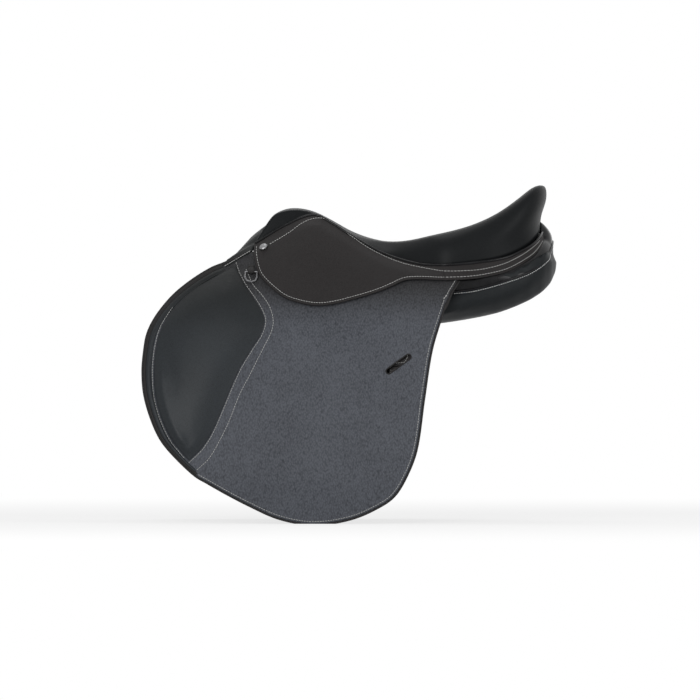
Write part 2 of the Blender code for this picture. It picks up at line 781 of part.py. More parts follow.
def panel_section(x):
    # The closed outline of the near panel at x: a crowned cushion whose outer edge runs down along
    # the sweat flap, and whose wall steps in at the front to clear the tree.
    inner, reach = panel_inner(x), panel_reach(x)
    low, seam = panel_low(x), panel_seam(x) + 22 * smooth((point_front - 4 - x) / 14)
    deep = seam - low
    sheet_like = smooth(reach / 40)
    under_tree = smooth((14 - x) / 24)
    back = smooth((x - turn_x) / 30)
    pocket = 1.25 * (tree_inset + tree_wall + plate_wall + 4 * gap)
    tuck = pocket * under_tree * smooth((x - point_front + 12) / 7)
    pocket_z = mix(52, point_low - 12, smooth((point_rear + 12 - x) / 8))
    end_low = low - reach
    foot = end_low + mix(deep / 3, 8, sheet_like)
    step_z = mix(mix(low, seam, 0.6), pocket_z, under_tree)
    step_z = min(max(step_z, foot + deep / 6), seam - deep / 8)
    step_low = step_z - deep / 12
    crown = seam + mix(8, -5, smooth((x - turn_x - 40) / 50))
    side_low = panel_half(x, end_low + 6)
    span = side_low - inner
    wall_y = [panel_half(x, z) for z in (step_low, step_z, seam, crown)]
    seam_y = max(wall_y[2] * mix(1, 0.975, back) - tuck, inner + 9)
    top_y = max(wall_y[3] * 0.92 - tuck, inner + 5)
    bend_y = panel_half(x, low) - mix(0.24 * span, 34, sheet_like)
    under_point = smooth((-30 - x) / 55)
    bend_y = max(mix(bend_y, min(bend_y, wall_y[1] - pocket - 22), under_point), inner + 8)
    points = [
        (inner, mix(low, crown, 0.35)), (mix(inner, bend_y, 0.18), low + 0.08 * deep),
        (mix(inner, bend_y, 0.6), low), (bend_y, low - 0.06 * reach + 1),
        (side_low - mix(0.16 * span, 12, sheet_like), end_low + mix(6, 0, sheet_like)),
        (side_low * mix(mix(0.975, 1, sheet_like), 0.96, back), foot),
        (wall_y[0], step_low), (wall_y[1] - tuck, step_z), (seam_y, seam), (top_y, crown),
        (mix(inner, top_y, 0.6), crown + 2), (mix(inner, top_y, 0.18), crown), (inner, mix(low, crown, 0.85)),
    ]
    nose = max(panel_front + panel_nose - x, 0) / panel_nose
    shrink = math.sqrt(max(1 - nose**2, 0)) * 0.72 + 0.28
    middle = np.array([0.5 * (inner + side_low), 0.5 * (low + seam)])
    points = [middle + (np.array(p) - middle) * shrink for p in points]
    return [np.array([x, y, z]) for y, z in points]


def make_panels():
    xs = [panel_front + panel_nose * (1 - math.cos(math.pi / 2 * k / 4)) for k in range(4)]
    xs += [-148, -140, -133, -126, -104, -88, -78, -60, -30, -8, 14, 40, 66, 90, 114, 128]
    xs += [turn_x + (panel_end_x - turn_x) * math.sin(math.pi / 2 * k / 9) for k in range(10)]
    for side, word in sides:
        loft(f"panel_{word}", flip([panel_section(x) for x in xs], side), SMOOTH)


def panel_top(x, y):
    # Height of the panel's upper side at this point.
    upper = panel_section(min(x, panel_end_x - 1))[:7:-1]
    return np.interp(y, [p[1] for p in upper], [p[2] for p in upper])


# Pieces of the tree's ironwork and webbing
def offset_rows(rows, depth):
    # The grid moved along its own normals.
    made = []
    for i, row in enumerate(rows):
        line = []
        for k, p in enumerate(row):
            along = rows[min(i + 1, len(rows) - 1)][k] - rows[max(i - 1, 0)][k]
            across = row[min(k + 1, len(row) - 1)] - row[max(k - 1, 0)]
            n = np.cross(along, across)
            line.append(p + n / np.linalg.norm(n) * depth)
        made.append(line)
    return made


def make_gullet_plate():
    front, rear = point_front + 5, point_rear - 5
    inset = tree_inset + tree_wall + 3 * gap
    half = []
    for z in arch_levels:
        xs = (front, rear)
        outer = [side_point(x, z, -inset) for x in xs]
        half.append(outer + [side_point(x, z, -inset - plate_wall) for x in xs[::-1]])
    for share in (*head_shares, 0.0):
        y = share * twist_half
        outer = [np.array([x, y, head_z(x, y) - tree_wall - 3 * gap]) for x in (head_front + 4, rear)]
        half.append(outer + [p - np.array([0, 0, plate_wall]) for p in outer[::-1]])
    far = [[p * np.array([1, -1, 1]) for p in section] for section in half[-2::-1]]
    loft("gullet_plate", half + far, STEEL)
    for side, word in sides:
        for k, z in enumerate((62, 96)):
            x = 0.5 * (front + rear)
            spot = side_point(x, z, -inset - plate_wall - 1.2)
            make_dome(f"gullet_rivet_{word}_{k + 1}", spot, -side_normal(x, z), 4.5, 2.4, STEEL, side)


def make_dome(name, spot, normal, radius, height, look, side):
    # A rivet or nail head: a low dome on a flat face.
    up = Vector(normal).normalized()
    across = up.orthogonal().normalized()
    other = up.cross(across)
    sections = []
    for share, rise in ((1.0, 0.0), (1.0, 0.35), (0.8, 0.75), (0.35, 1.0)):
        middle = Vector(spot) + up * height * rise
        ring = []
        for k in range(12):
            a = 2 * math.pi * k / 12
            ring.append(np.array(middle + (across * math.cos(a) + other * math.sin(a)) * radius * share))
        sections.append(ring)
    loft(name, flip(sections, side), look)


def bar_place(u, out, v):
    # A point of the near stirrup bar: u along the horse, out from its side, v up.
    origin = side_base(bar_x, bar_z)
    normal = side_normal(bar_x, bar_z)
    along = np.array([1.0, 0.0, 0.0])
    normal = normal - along * normal[0]
    normal /= np.linalg.norm(normal)
    up = np.cross(along, normal)
    return origin + along * u + normal * out + up * v


def bar_block(front, rear, half, out):
    # A cross-section of the bar's forging, this far out from the side.
    return [bar_place(u, out, v) for u, v in ((front, -half), (rear, -half), (rear, half), (front, half))]


def prism(name, outline, low, high, look, side):
    # An outline in (u, out) of the stirrup bar, extruded in v.
    sections = [[bar_place(u, out, v) for u, out in outline] for v in (low, high)]
    return loft(name, flip(sections, side), look)


bar_plate_out = -tree_inset + 4.2
bar_inner = bar_plate_out + 3 + bar_reach
bar_outer = bar_inner + bar_deep
plate_half = 14.0
ledge = 0.4
catch_length = 17.0
catch_pivot = bar_length / 2 - 6


def make_stirrup_bars():
    front, rear = -bar_length / 2, bar_length / 2
    plate_top = bar_plate_out + 3
    tongue = bar_inner + 0.45 * bar_deep
    catch = [
        (rear - 11, tongue), (rear - 11 + catch_length, tongue), (rear - 11 + catch_length, bar_outer - 2),
        (rear - 13 + catch_length, bar_outer), (rear - 11, bar_outer),
    ]
    half = bar_thick / 2
    # Plate, arm, bar and the thicker stretch in front of the catch, from the tree outwards.
    forging = [
        bar_block(front - 6, rear + 6, plate_half, bar_plate_out),
        bar_block(front - 6, rear + 6, plate_half, plate_top),
        bar_block(front - 3, front + 8, half - ledge, plate_top),
        bar_block(front - 3, front + 8, half - ledge, bar_inner),
        bar_block(front - 4, rear, half, bar_inner),
        bar_block(front - 4, rear, half, tongue - 0.5),
        bar_block(front - 3, rear - 13, half - ledge, tongue - 0.5),
        bar_block(front + 2, rear - 13, half - ledge, bar_outer),
    ]
    for side, word in sides:
        loft(f"stirrup_bar_{word}", flip(forging, side), STEEL)
        tip = prism(f"bar_catch_{word}", catch, -half, half, STEEL, side)
        hang(tip, bar_place(catch_pivot, tongue, 0), side)
        normal = bar_place(0, 1, 0) - bar_place(0, 0, 0)
        for k, u in enumerate((-22, 22)):
            spot = bar_place(u, plate_top + 0.5, plate_half - 4.5)
            make_dome(f"bar_rivet_{word}_{k + 1}", spot, normal, 3.6, 2, STEEL, side)


def head_z(x, y):
    return seat_top(x, y) - tree_top_inset(x) - 5


# Name, front edge and width of the webs that carry the girth straps.
girth_webs = (("girth_web_front", strap_first - 14, 28), ("girth_web_rear", strap_first + 28, 70))
web_levels = (46, 58, 70, 80)
web_step = 17.5          # facet width across a web


def make_webs():
    def inset(x):
        return cover + foam_depth(x) + 3 * gap

    for name, first, width in girth_webs:
        columns = round(width / web_step) + 1
        xs = [mix(first, first + width, k / (columns - 1)) for k in range(columns)]
        rows = [[side_point(x, z, web_out(x, z) + web_wall) for x in xs] for z in web_levels]
        for share in (1.35, 1.0, 0.66, 0.33, 0.0):
            row = []
            for x in xs:
                y = rail_edge(x) * min(share, 1.0)
                p = np.array([x, y, seat_top(x, y) - inset(x)])
                if share > 1:
                    below = side_point(x, web_levels[-1], web_out(x, web_levels[-1]) + web_wall)
                    p = mix(p, below, share - 1) - np.array([0, 0, 3 * gap])
                row.append(p)
            rows.append(row)
        rows += [[p * np.array([1, -1, 1]) for p in row] for row in rows[-2::-1]]
        shell(name, rows, offset_rows(rows, -web_wall), WEBBING)
    for side, word in sides:
        sections = []
        for k in range(9):
            x = mix(-26, 180, k / 8)
            row = [np.array([x, y, seat_top(x, y) - inset(x) - web_wall - gap]) for y in (5, 24)]
            sections.append(row + [p - np.array([0, 0, web_wall]) for p in row[::-1]])
        loft(f"seat_web_{word}", flip(sections, side), WEBBING)


def rail_edge(x):
    # Half width of the tree's rail at x, at its outer edge.
    return spline([(-60, 42), (0, 54), (48, 70), (90, 85), (turn_x, 100)], x)


def make_straps():
    for side, word in sides:
        for k, place in enumerate(("front", "middle", "rear")):
            x = strap_first + k * strap_pitch
            sections = []
            levels = [strap_top, 38, 22, 4, -18, -44, -74, -106]
            levels += [strap_low + 62, strap_low + 38, strap_low + 14, strap_low]
            for z in levels:
                half = strap_width / 2 * (0.4 if z == strap_low else 1)
                flat = smooth((strap_low + 102 - z) / 40)
                face = side_point(x, z)[1]
                section = []
                for d, out in ((-half, strap_out + strap_wall), (half, strap_out + strap_wall),
                               (half, strap_out), (-half, strap_out)):
                    p = side_point(x + d, z, out)
                    section.append(mix(p, np.array([x + d, face + out, z]), flat))
                sections.append(section)
            strap = loft(f"girth_strap_{place}_{word}", flip(sections, side), PLAIN)
            hang(strap, side_point(x, strap_pivot, strap_out), side)
        front, rear = strap_first - 20, strap_first + 2 * strap_pitch + 20
        guard = [(front, 14), (front, -44), (front + 10, -58), (rear - 10, -58), (rear, -44), (rear, 14),
                 (rear - 6, 20), (front + 6, 20)]
        sheet(f"buckle_guard_{word}", guard, lambda s, z: guard_out, guard_wall, PLAIN, side)


# Pieces at the edges
def make_piping():
    path = []
    for s in [mix(stud_x + 3, turn_x, k / 16) for k in range(17)] + rear_stations:
        z = welt_z(x_of(s)) - 0.6
        path.append(side_point(s, z, 3.0) * [1, -1, 1])
    path[-1][1] = 0.0
    far = [p * [1, -1, 1] for p in path[-2::-1]]
    tube("seat_piping", path + far, 2.1, GLOSSY, sides=6)


def make_head_cover():
    # Leather from the pommel's front edge down to the flaps, over the tree's head.
    front = [np.array(p, float) for p in ((-147, 0, 130), (-155, 26, 121), (-166, 48, 109), (-177, 64, 98))]
    rows = []
    for spot, fore in zip(half_edge(), front):
        back = spot[0] + np.array([-2.5, 0, 0.5])
        over = 0.5 * (back + fore) + np.array([-3, 0, 4])
        rows.append([(1 - t) ** 2 * back + 2 * t * (1 - t) * over + t * t * fore for t in np.linspace(0, 1, 6)])
    low = []
    for t in np.linspace(0, 1, 6):
        x = mix(-145, -187, t)
        z = mix(flap_top + 2.5, 92.5, t)
        low.append(side_point(x, z, 5.5))
    upper = []
    for t in np.linspace(0, 1, 6):
        x = mix(stud_x - 3, -183, t)
        z = mix(stud_z + 1, 95.5, t) + 3 * math.sin(math.pi * t)
        upper.append(side_point(x, z, mix(2, 3, t)))
    rows += [upper, low]
    grid = [[p * np.array([1, -1, 1]) for p in row] for row in rows[:0:-1]] + rows
    shell("head_cover", grid, offset_rows(grid, 2.0), SMOOTH)


def make_facing():
    # The glossy strip round the top of the rear panels. It runs inside the skirt at the sides, comes
    # out below its edge and then rises behind it, to hug the cantle.
    rows = []
    for k in range(1, 14):
        t = k / 13
        s = rear_station(t)
        x = x_of(s)
        outward = smooth((t - 0.36) / 0.16)
        rise = smooth((t - 0.62) / 0.24)
        top_z = mix(skirt_low_z(x) + mix(9, -5, smooth((t - 0.24) / 0.12)), welt_z(x) + 13, rise)
        top_out = mix(-6, 11, outward)
        low_out = mix(top_out, 17, rise)
        spot = side_point(s, top_z - 12, low_out)
        low_z = max(panel_top(spot[0] + d, spot[1] + e) for d in (-4, 4) for e in (-6, 0, 2))
        low_z += 6
        if outward < 1:
            low_z = min(low_z, top_z - 4)
        top_z = max(top_z, low_z + 6)
        row = []
        for v in (0.0, 0.35, 0.7, 1.0):
            row.append(side_point(s, mix(top_z, low_z, v), mix(top_out, low_out, v)))
        rows.append(row)
    for p in rows[-1]:
        p[1] = 0.0
    grid = rows + [[p * np.array([1, -1, 1]) for p in row] for row in rows[-2::-1]]
    shell("rear_facing", grid, offset_rows(grid, -2.0), GLOSSY)


def skirt_face(s, z):
    return side_point(s, z, skirt_out(s, z) + skirt_wall)


def make_studs():
    for side, word in sides:
        s, z = stud_x + 14, stud_z - 6
        climb = skirt_face(s, z + 7) - skirt_face(s, z - 7)
        normal = np.cross(climb, skirt_face(s + 7, z) - skirt_face(s - 7, z))
        normal /= np.linalg.norm(normal)
        make_dome(f"stud_{word}", skirt_face(s, z) + normal * 1.2, normal, 6.5, 3.4, STEEL, side)


def make_channel_lining():
    sections = []
    for k in range(13):
        x = mix(stud_x + 72, turn_x + 100, k / 12)
        z = panel_seam(x) - 4
        half = panel_inner(x) - gap
        row = [np.array([x, y, z + 5 * (1 - (y / half) ** 2)]) for y in (-half, -half / 2, 0, half / 2, half)]
        sections.append(row + [p - np.array([0, 0, lining_wall]) for p in row[::-1]])
    loft("channel_lining", sections, PLAIN)


dee_x = -147.0
dee_top = 80.0
dee_wide = 18.0
dee_high = 17.0
dee_wire = 1.5
chape_wall = 1.2
chape_half = 5.5
chape_up = 13.0


def chape_loop(room):
    # The strap's closed outline, seen along the ring's top bar: its back leg lies on the flap, it
    # turns under the bar and its front leg comes back up against the other.
    middle = room + chape_wall / 2
    path = [(-middle, chape_up), (-middle, chape_up / 2)]
    path += [(-middle * math.cos(math.pi * k / 6), -middle * math.sin(math.pi * k / 6)) for k in range(7)]
    closed = chape_wall + 0.3 - middle
    path += [(0.35 * middle, 1.9 * middle), (closed, 3.4 * middle), (closed, chape_up)]
    back, front = [], []
    for i, p in enumerate(path):
        before, after = path[max(i - 1, 0)], path[min(i + 1, len(path) - 1)]
        run, climb = after[0] - before[0], after[1] - before[1]
        share = chape_wall / 2 / math.hypot(run, climb)
        back.append((p[0] + climb * share, p[1] - run * share))
        front.append((p[0] - climb * share, p[1] + run * share))
    return back + front[::-1]


def make_dees():
    # Each ring's top bar turns in the loop of a leather strap.
    room = dee_wire + 0.4
    base = flap_face(dee_x, dee_top)
    centre = side_point(dee_x, dee_top, base + room + chape_wall + 3.2 * gap)
    normal = side_normal(dee_x, dee_top)
    along = np.array([1.0, 0, 0])
    up = np.cross(along, normal)
    w, h = dee_wide / 2, dee_high
    ring = [(-w, 0), (0, 0), (w, 0), (w, -h * 0.5), (w * 0.7, -h * 0.86), (0, -h)]
    ring += [(-w * 0.7, -h * 0.86), (-w, -h * 0.5)]
    for side, word in sides:
        wire = [(centre + along * u + up * v) * [1, side, 1] for u, v in ring]
        hang(tube(f"dee_{word}", wire, dee_wire, STEEL, sides=6, closed_path=True), centre, side)
        ends = (-chape_half, chape_half)
        chape = [[centre + along * u + normal * o + up * v for o, v in chape_loop(room)] for u in ends]
        loft(f"dee_chape_{word}", flip(chape, side), PLAIN)


clear_scene()
make_seat()
make_tree()
make_gullet_plate()
make_stirrup_bars()
make_webs()
make_skirts()
make_flaps()
make_sweat_flaps()
make_straps()
make_panels()
make_piping()
make_head_cover()
make_facing()
make_studs()
make_channel_lining()
make_dees()
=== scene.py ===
# Black all-purpose saddle: leathers, padding, seams and finishes round its frame.
# Lengths are millimetres until a mesh is made. +X runs to the cantle, +Z is up, the near side is at -Y.

import math

import bmesh
import bpy
import numpy as np
from mathutils import Matrix, Vector
from mathutils.bvhtree import BVHTree


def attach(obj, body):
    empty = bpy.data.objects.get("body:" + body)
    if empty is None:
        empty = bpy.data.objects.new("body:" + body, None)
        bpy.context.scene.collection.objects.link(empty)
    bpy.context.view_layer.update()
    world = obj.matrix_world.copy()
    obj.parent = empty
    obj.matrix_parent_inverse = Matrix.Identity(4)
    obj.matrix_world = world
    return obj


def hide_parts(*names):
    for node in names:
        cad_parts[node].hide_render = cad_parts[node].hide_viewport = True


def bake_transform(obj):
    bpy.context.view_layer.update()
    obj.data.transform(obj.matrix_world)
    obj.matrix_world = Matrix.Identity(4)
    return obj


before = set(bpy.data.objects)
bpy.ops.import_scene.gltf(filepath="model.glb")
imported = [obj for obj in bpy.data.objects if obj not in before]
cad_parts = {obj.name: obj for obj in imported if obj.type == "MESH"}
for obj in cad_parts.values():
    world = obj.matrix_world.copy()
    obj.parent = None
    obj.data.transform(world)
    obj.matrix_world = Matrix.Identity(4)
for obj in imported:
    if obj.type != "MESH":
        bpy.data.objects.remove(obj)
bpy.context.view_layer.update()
mm = 0.001
toNear = np.array([1, -1, 1])         # takes a place from the +Y side, where it is worked out, to the near one
footZ = -292                          # level of the flap's lowest point
print("frame loaded:", len(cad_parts), "nodes")


# Camera, light and floor
studio = {
    "perPixel": 1.49, "middle": (0.0, 0.0, -37.3), "distance": 40000.0, "elevation": 0.6, "sensor": 36.0,
    "ambient": 0.40, "floorLevel": -292.6, "floorRadius": 2.6, "fadeFrom": 0.6, "paper": 0.72,
    "lamps": (   # name, place, aim and size in metres, watts
        ("keyLamp", (-0.9, -3.1, 1.0), (0, -0.1, 0), 1.8, 52.0),
        ("sideLamp", (2.4, -1.9, 0.9), (0.1, 0, 0.05), 1.4, 26.0),
        ("topLamp", (-0.3, 0.8, 2.7), (0, 0, 0), 1.6, 12.0),
    ),
}


def linked(name, data):
    made = bpy.data.objects.new(name, data)
    bpy.context.scene.collection.objects.link(made)
    return made


def aimed(name, data, spot, toward):
    holder = linked(name, data)
    holder.location = spot
    holder.rotation_euler = toward.to_track_quat("-Z", "Y").to_euler()
    return holder


def makeStudio():
    scene = bpy.context.scene
    scene.view_settings.view_transform = "Standard"
    data = bpy.data.cameras.new("photoCamera")
    data.sensor_width = studio["sensor"]
    data.lens = studio["sensor"] * studio["distance"] / (700 * studio["perPixel"])
    data.clip_end = 200.0
    tilt = math.radians(studio["elevation"])
    back = Vector((0, -math.cos(tilt), math.sin(tilt)))
    spot = (Vector(studio["middle"]) + back * studio["distance"]) * mm
    scene.camera = aimed("photoCamera", data, spot, -back)

    bm = bmesh.new()
    bmesh.ops.create_circle(bm, cap_ends=True, segments=96, radius=studio["floorRadius"])
    bmesh.ops.translate(bm, vec=(0, 0, studio["floorLevel"] * mm), verts=bm.verts)
    floor = linked("floor", bpy.data.meshes.new("floor"))
    bm.to_mesh(floor.data)
    bm.free()
    paper = Finish("palePaper", roughness=0.9, Base_Color=(0.86, 0.86, 0.86, 1))
    spot = paper.node("ShaderNodeTexCoord", output="Object")
    far = paper.node("ShaderNodeVectorMath", {"operation": "LENGTH"}, {0: spot}, output=1)
    fade = paper.node("ShaderNodeMapRange", {"interpolation_type": "SMOOTHSTEP"},
                      {"Value": far, "From Min": studio["fadeFrom"], "From Max": studio["floorRadius"] - 0.2,
                       "To Min": studio["paper"], "To Max": 1.0})
    white = paper.node("ShaderNodeEmission", {}, {"Strength": 1.0})
    both = paper.node("ShaderNodeMixShader", {}, {
        0: paper.seen() * fade, 1: Signal(paper, paper.shader.outputs[0]), 2: white})
    paper.tree.links.new(both.socket, paper.tree.nodes["Material Output"].inputs["Surface"])
    floor.data.materials.append(paper.material)

    world = bpy.data.worlds.new("studio")
    scene.world = world
    world.use_nodes = True
    world.node_tree.nodes.clear()
    sky = Graph(world.node_tree)
    room, white = (sky.node("ShaderNodeBackground", {}, {"Color": (1, 1, 1, 1), "Strength": strength})
                   for strength in (studio["ambient"], 1.0))
    both = sky.node("ShaderNodeMixShader", {}, {0: sky.seen(), 1: room, 2: white})
    out = sky.tree.nodes.new("ShaderNodeOutputWorld")
    sky.tree.links.new(both.socket, out.inputs["Surface"])

    for name, spot, aim, size, watts in studio["lamps"]:
        lamp = bpy.data.lights.new(name, "AREA")
        lamp.shape = "DISK"
        lamp.size = size
        lamp.energy = watts
        aimed(name, lamp, spot, Vector(aim) - Vector(spot))


# Finishes
class Signal:
    # A value that a finish works out at every point of a surface.
    def __init__(self, graph, socket):
        self.graph = graph
        self.socket = socket

    def maths(self, operation, a, b):
        return self.graph.node("ShaderNodeMath", {"operation": operation}, {0: a, 1: b})

    def __add__(self, other):
        return self.maths("ADD", self, other)

    def __radd__(self, other):
        return self.maths("ADD", other, self)

    def __sub__(self, other):
        return self.maths("SUBTRACT", self, other)

    def __rsub__(self, other):
        return self.maths("SUBTRACT", other, self)

    def __mul__(self, other):
        return self.maths("MULTIPLY", self, other)

    def __rmul__(self, other):
        return self.maths("MULTIPLY", other, self)


class Graph:
    def __init__(self, tree):
        self.tree = tree

    def node(self, kind, settings=None, inputs=None, output=0):
        made = self.tree.nodes.new(kind)
        for key, value in (settings or {}).items():
            if key == "stops":
                ramp = made.color_ramp
                ramp.elements[0].position, ramp.elements[1].position = value[0][0], value[-1][0]
                for element, (_, colour) in zip(ramp.elements, value):
                    element.color = (*colour, 1)
            else:
                setattr(made, key, value)
        for key, value in (inputs or {}).items():
            if isinstance(value, Signal):
                self.tree.links.new(value.socket, made.inputs[key])
            else:
                made.inputs[key].default_value = value
        return Signal(self, made.outputs[output])

    def seen(self):
        # 1 where the camera looks, straight or by way of a gloss.
        camera, glossy, through = (self.node("ShaderNodeLightPath", output=f"Is {ray} Ray")
                                   for ray in ("Camera", "Glossy", "Transmission"))
        return camera + glossy + through


class Finish(Graph):
    def __init__(self, name, roughness=0.5, metallic=0.0, **constants):
        self.material = bpy.data.materials.new(name)
        self.material.use_nodes = True
        super().__init__(self.material.node_tree)
        self.shader = self.tree.nodes["Principled BSDF"]
        for key, value in {"Roughness": roughness, "Metallic": metallic, **constants}.items():
            self.shader.inputs[key.replace("_", " ")].default_value = value

    def feed(self, key, value):
        self.tree.links.new(value.socket, self.shader.inputs[key])

    def place(self, scale=(1, 1, 1), turn=(0, 0, 0)):
        spot = self.node("ShaderNodeTexCoord", output="Object")
        return self.node("ShaderNodeMapping", {}, {"Vector": spot, "Scale": scale, "Rotation": turn})

    def noise(self, size, detail=3.0, where=None):
        return self.node("ShaderNodeTexNoise", {}, {"Vector": where or self.place(), "Scale": 1 / (size * mm),
                                                    "Detail": detail, "Roughness": 0.5})

    def bands(self, way, scale, **more):
        return self.node("ShaderNodeTexWave", {"wave_type": "BANDS", "bands_direction": way},
                         {"Vector": self.place(), "Scale": scale, **more})

    def ramp(self, value, *stops):
        return self.node("ShaderNodeValToRGB", {"stops": stops}, {"Fac": value})

    def tint(self, value, *stops):
        self.feed("Base Color", self.ramp(value, *stops))

    def blend(self, share, *pair):
        first, second = (end if isinstance(end, Signal) else (*end, 1) for end in pair)
        return self.node("ShaderNodeMix", {"data_type": "RGBA"},
                         {"Factor": share, 6: first, 7: second}, output=2)

    def bump(self, height, deep):
        self.feed("Normal", self.node("ShaderNodeBump", {}, {"Height": height, "Distance": deep * mm,
                                                             "Strength": 1.0}))


grain = {   # of every leather, sizes as shares of its pebble
    "lean": 38, "wander": 2.2, "bend": 0.8, "pores": 0.35, "patch": 5, "cloud": 70,
    "dark": 0.12, "light": 0.78,      # tones at which the two colours are pure
}


def leather(name, deep, lit, roughness, pebble, relief, gloss=0.22, stretch=(1, 1, 1), paintedShade=None,
            levels=(-40, 60)):
    # The optional pair of colours is painted shade: deep and lit turn into it between these levels, so the leather
    # is painted darker towards its top.
    # above is the pair of colours that deep and lit turn into between these levels.
    made = Finish(name, roughness=roughness, Specular_IOR_Level=gloss)
    where = made.place(stretch, (0.0, math.radians(grain["lean"]), 0.0))
    wander = made.noise(pebble * grain["wander"], 2.0)
    aside = made.node("ShaderNodeCombineXYZ", {}, {"X": wander, "Y": wander, "Z": wander})
    aside = made.node("ShaderNodeVectorMath", {"operation": "SCALE"},
                      {0: aside, "Scale": pebble * grain["bend"] * mm})
    bent = made.node("ShaderNodeVectorMath", {"operation": "ADD"}, {0: where, 1: aside})
    cells = made.node("ShaderNodeTexVoronoi", {"feature": "SMOOTH_F1"},
                      {"Vector": bent, "Scale": 1 / (pebble * mm), "Smoothness": 0.55})
    pores = made.noise(pebble * grain["pores"], 2.0)
    height = (1 - cells * 1.3) * 0.8 + pores * 0.2
    cloud = made.noise(grain["cloud"], 2.0)
    patch = made.noise(pebble * grain["patch"], 3.0)
    tone = (1 - cells * 1.1) * 0.62 + cloud * 0.30 + patch * 0.22
    base = made.ramp(tone, (grain["dark"], deep), (grain["light"], lit))
    # Painted shade: between the two levels the colours blend, going up, into the darker pair.
    if paintedShade:
        level = made.node("ShaderNodeTexCoord", output="Object")
        level = made.node("ShaderNodeSeparateXYZ", {}, {0: level}, output=2)
        share = made.node("ShaderNodeMapRange", {"interpolation_type": "SMOOTHSTEP"},
                          {"Value": level, "From Min": levels[0] * mm, "From Max": levels[1] * mm})
        base = made.blend(share, base, made.ramp(tone, (grain["dark"], paintedShade[0]), (grain["light"], paintedShade[1])))
    made.feed("Base Color", base)
    made.feed("Roughness", roughness - 0.06 + cells * 0.096 + patch * 0.048)
    made.bump(height, relief)
    return made.material


def makeFinishes():
    made = {
        "seat": leather("seatLeather", (0.0045, 0.005, 0.0053), (0.010, 0.011, 0.0118), 0.42, 0.9, 0.05, 0.07),
        "skirt": leather("skirtLeather", (0.009, 0.008, 0.008), (0.022, 0.020, 0.020), 0.60, 1.1, 0.11, 0.13),
        # The flap is painted darker from -8 mm up to 68 mm: painted shade towards its top, where it lies under the
        # skirt.
        "flap": leather("grainedLeather", (0.025, 0.027, 0.032), (0.080, 0.086, 0.100), 0.60, 2.0, 0.34, 0.15,
                        stretch=(1.0, 1.0, 0.58), paintedShade=((0.010, 0.010, 0.0105), (0.034, 0.034, 0.036)),
                        levels=(-8, 68)),
        # The knee pad is painted darker from -50 mm up to 90 mm: painted shade towards its top.
        "pad": leather("smoothLeather", (0.011, 0.0127, 0.014), (0.026, 0.030, 0.034), 0.40, 0.8, 0.04, 0.13,
                       paintedShade=((0.006, 0.0068, 0.007), (0.014, 0.0155, 0.016)), levels=(-50, 90)),
        "cover": leather("coverLeather", (0.006, 0.0065, 0.0065), (0.014, 0.0155, 0.0155), 0.48, 0.9, 0.05, 0.07),
        "panel": leather("panelLeather", (0.006, 0.007, 0.0076), (0.014, 0.016, 0.0175), 0.40, 0.9, 0.05, 0.09),
        "plain": leather("plainLeather", (0.008, 0.0075, 0.0075), (0.019, 0.018, 0.018), 0.54, 1.2, 0.11, 0.14),
        "strap": leather("strapLeather", (0.012, 0.011, 0.0105), (0.028, 0.026, 0.025), 0.50, 1.0, 0.08),
    }
    piping = Finish("glossyPiping", roughness=0.22, Specular_IOR_Level=0.16)
    smear = piping.noise(9, 3.0)
    piping.tint(smear, (0.3, (0.003, 0.003, 0.0035)), (0.7, (0.008, 0.008, 0.009)))
    piping.feed("Roughness", 0.12 + smear * 0.14)
    piping.bump(piping.noise(2.5, 2.0), 0.05)
    made["piping"] = piping.material

    for key, name, low, high, relief in (
        ("thread", "greyThread", (0.26, 0.26, 0.255), (0.44, 0.44, 0.43), 0.08),
        ("whiteThread", "whiteThread", (0.55, 0.55, 0.55), (0.80, 0.80, 0.80), 0.0),
    ):
        thread = Finish(name, roughness=0.7)
        twist = thread.bands("DIAGONAL", 420.0, Distortion=0.5)
        thread.tint(twist, (0.1, low), (0.9, high))
        if relief:
            thread.bump(twist, relief)
        made[key] = thread.material

    for key, name, colour, rough, scratch in (
        ("plated", "platedSteel", (0.26, 0.26, 0.265), 0.30, 0.12),
        ("steel", "forgedSteel", (0.46, 0.46, 0.47), 0.38, 0.20),
        ("dull", "dulledNickel", (0.20, 0.20, 0.205), 0.34, 0.15),
    ):
        metal = Finish(name, roughness=rough, metallic=1.0)
        brushed = metal.noise(1.6, 4.0, metal.place((1, 1, 9)))
        stain = metal.noise(14, 3.0)
        metal.feed("Base Color", metal.blend(stain, [c * 0.72 for c in colour], colour))
        metal.feed("Roughness", rough + brushed * scratch)
        metal.bump(brushed, 0.02)
        made[key] = metal.material

    wood = Finish("laminatedBeech", roughness=0.55)
    layers = wood.bands("Z", 150.0, Distortion=1.2, Detail=2.0)
    fibres = wood.noise(3, 4.0, wood.place((0.12, 1, 1)))
    streaks = layers * 0.55 + fibres * 0.45
    wood.tint(streaks, (0.2, (0.24, 0.13, 0.060)), (0.8, (0.50, 0.33, 0.18)))
    wood.feed("Roughness", 0.45 + fibres * 0.25)
    wood.bump(streaks, 0.12)
    made["wood"] = wood.material

    foam = Finish("seatFoam", roughness=0.95)
    bubbles = foam.node("ShaderNodeTexVoronoi", {}, {"Vector": foam.place(), "Scale": 900.0})
    foam.tint(bubbles, (0.0, (0.34, 0.32, 0.24)), (0.8, (0.60, 0.57, 0.46)))
    foam.bump(bubbles, 0.25)
    made["foam"] = foam.material

    web = Finish("flaxWebbing", roughness=0.85)
    weave = web.bands("X", 160.0) * 0.5 + web.bands("Y", 160.0) * 0.5
    web.tint(weave, (0.1, (0.12, 0.11, 0.09)), (0.9, (0.30, 0.28, 0.24)))
    web.bump(weave, 0.3)
    made["web"] = web.material
    return made


# Numbers
def mix(a, b, t):
    return a + (b - a) * t


def smooth(t):
    t = np.clip(t, 0.0, 1.0)
    return t * t * (3 - 2 * t)


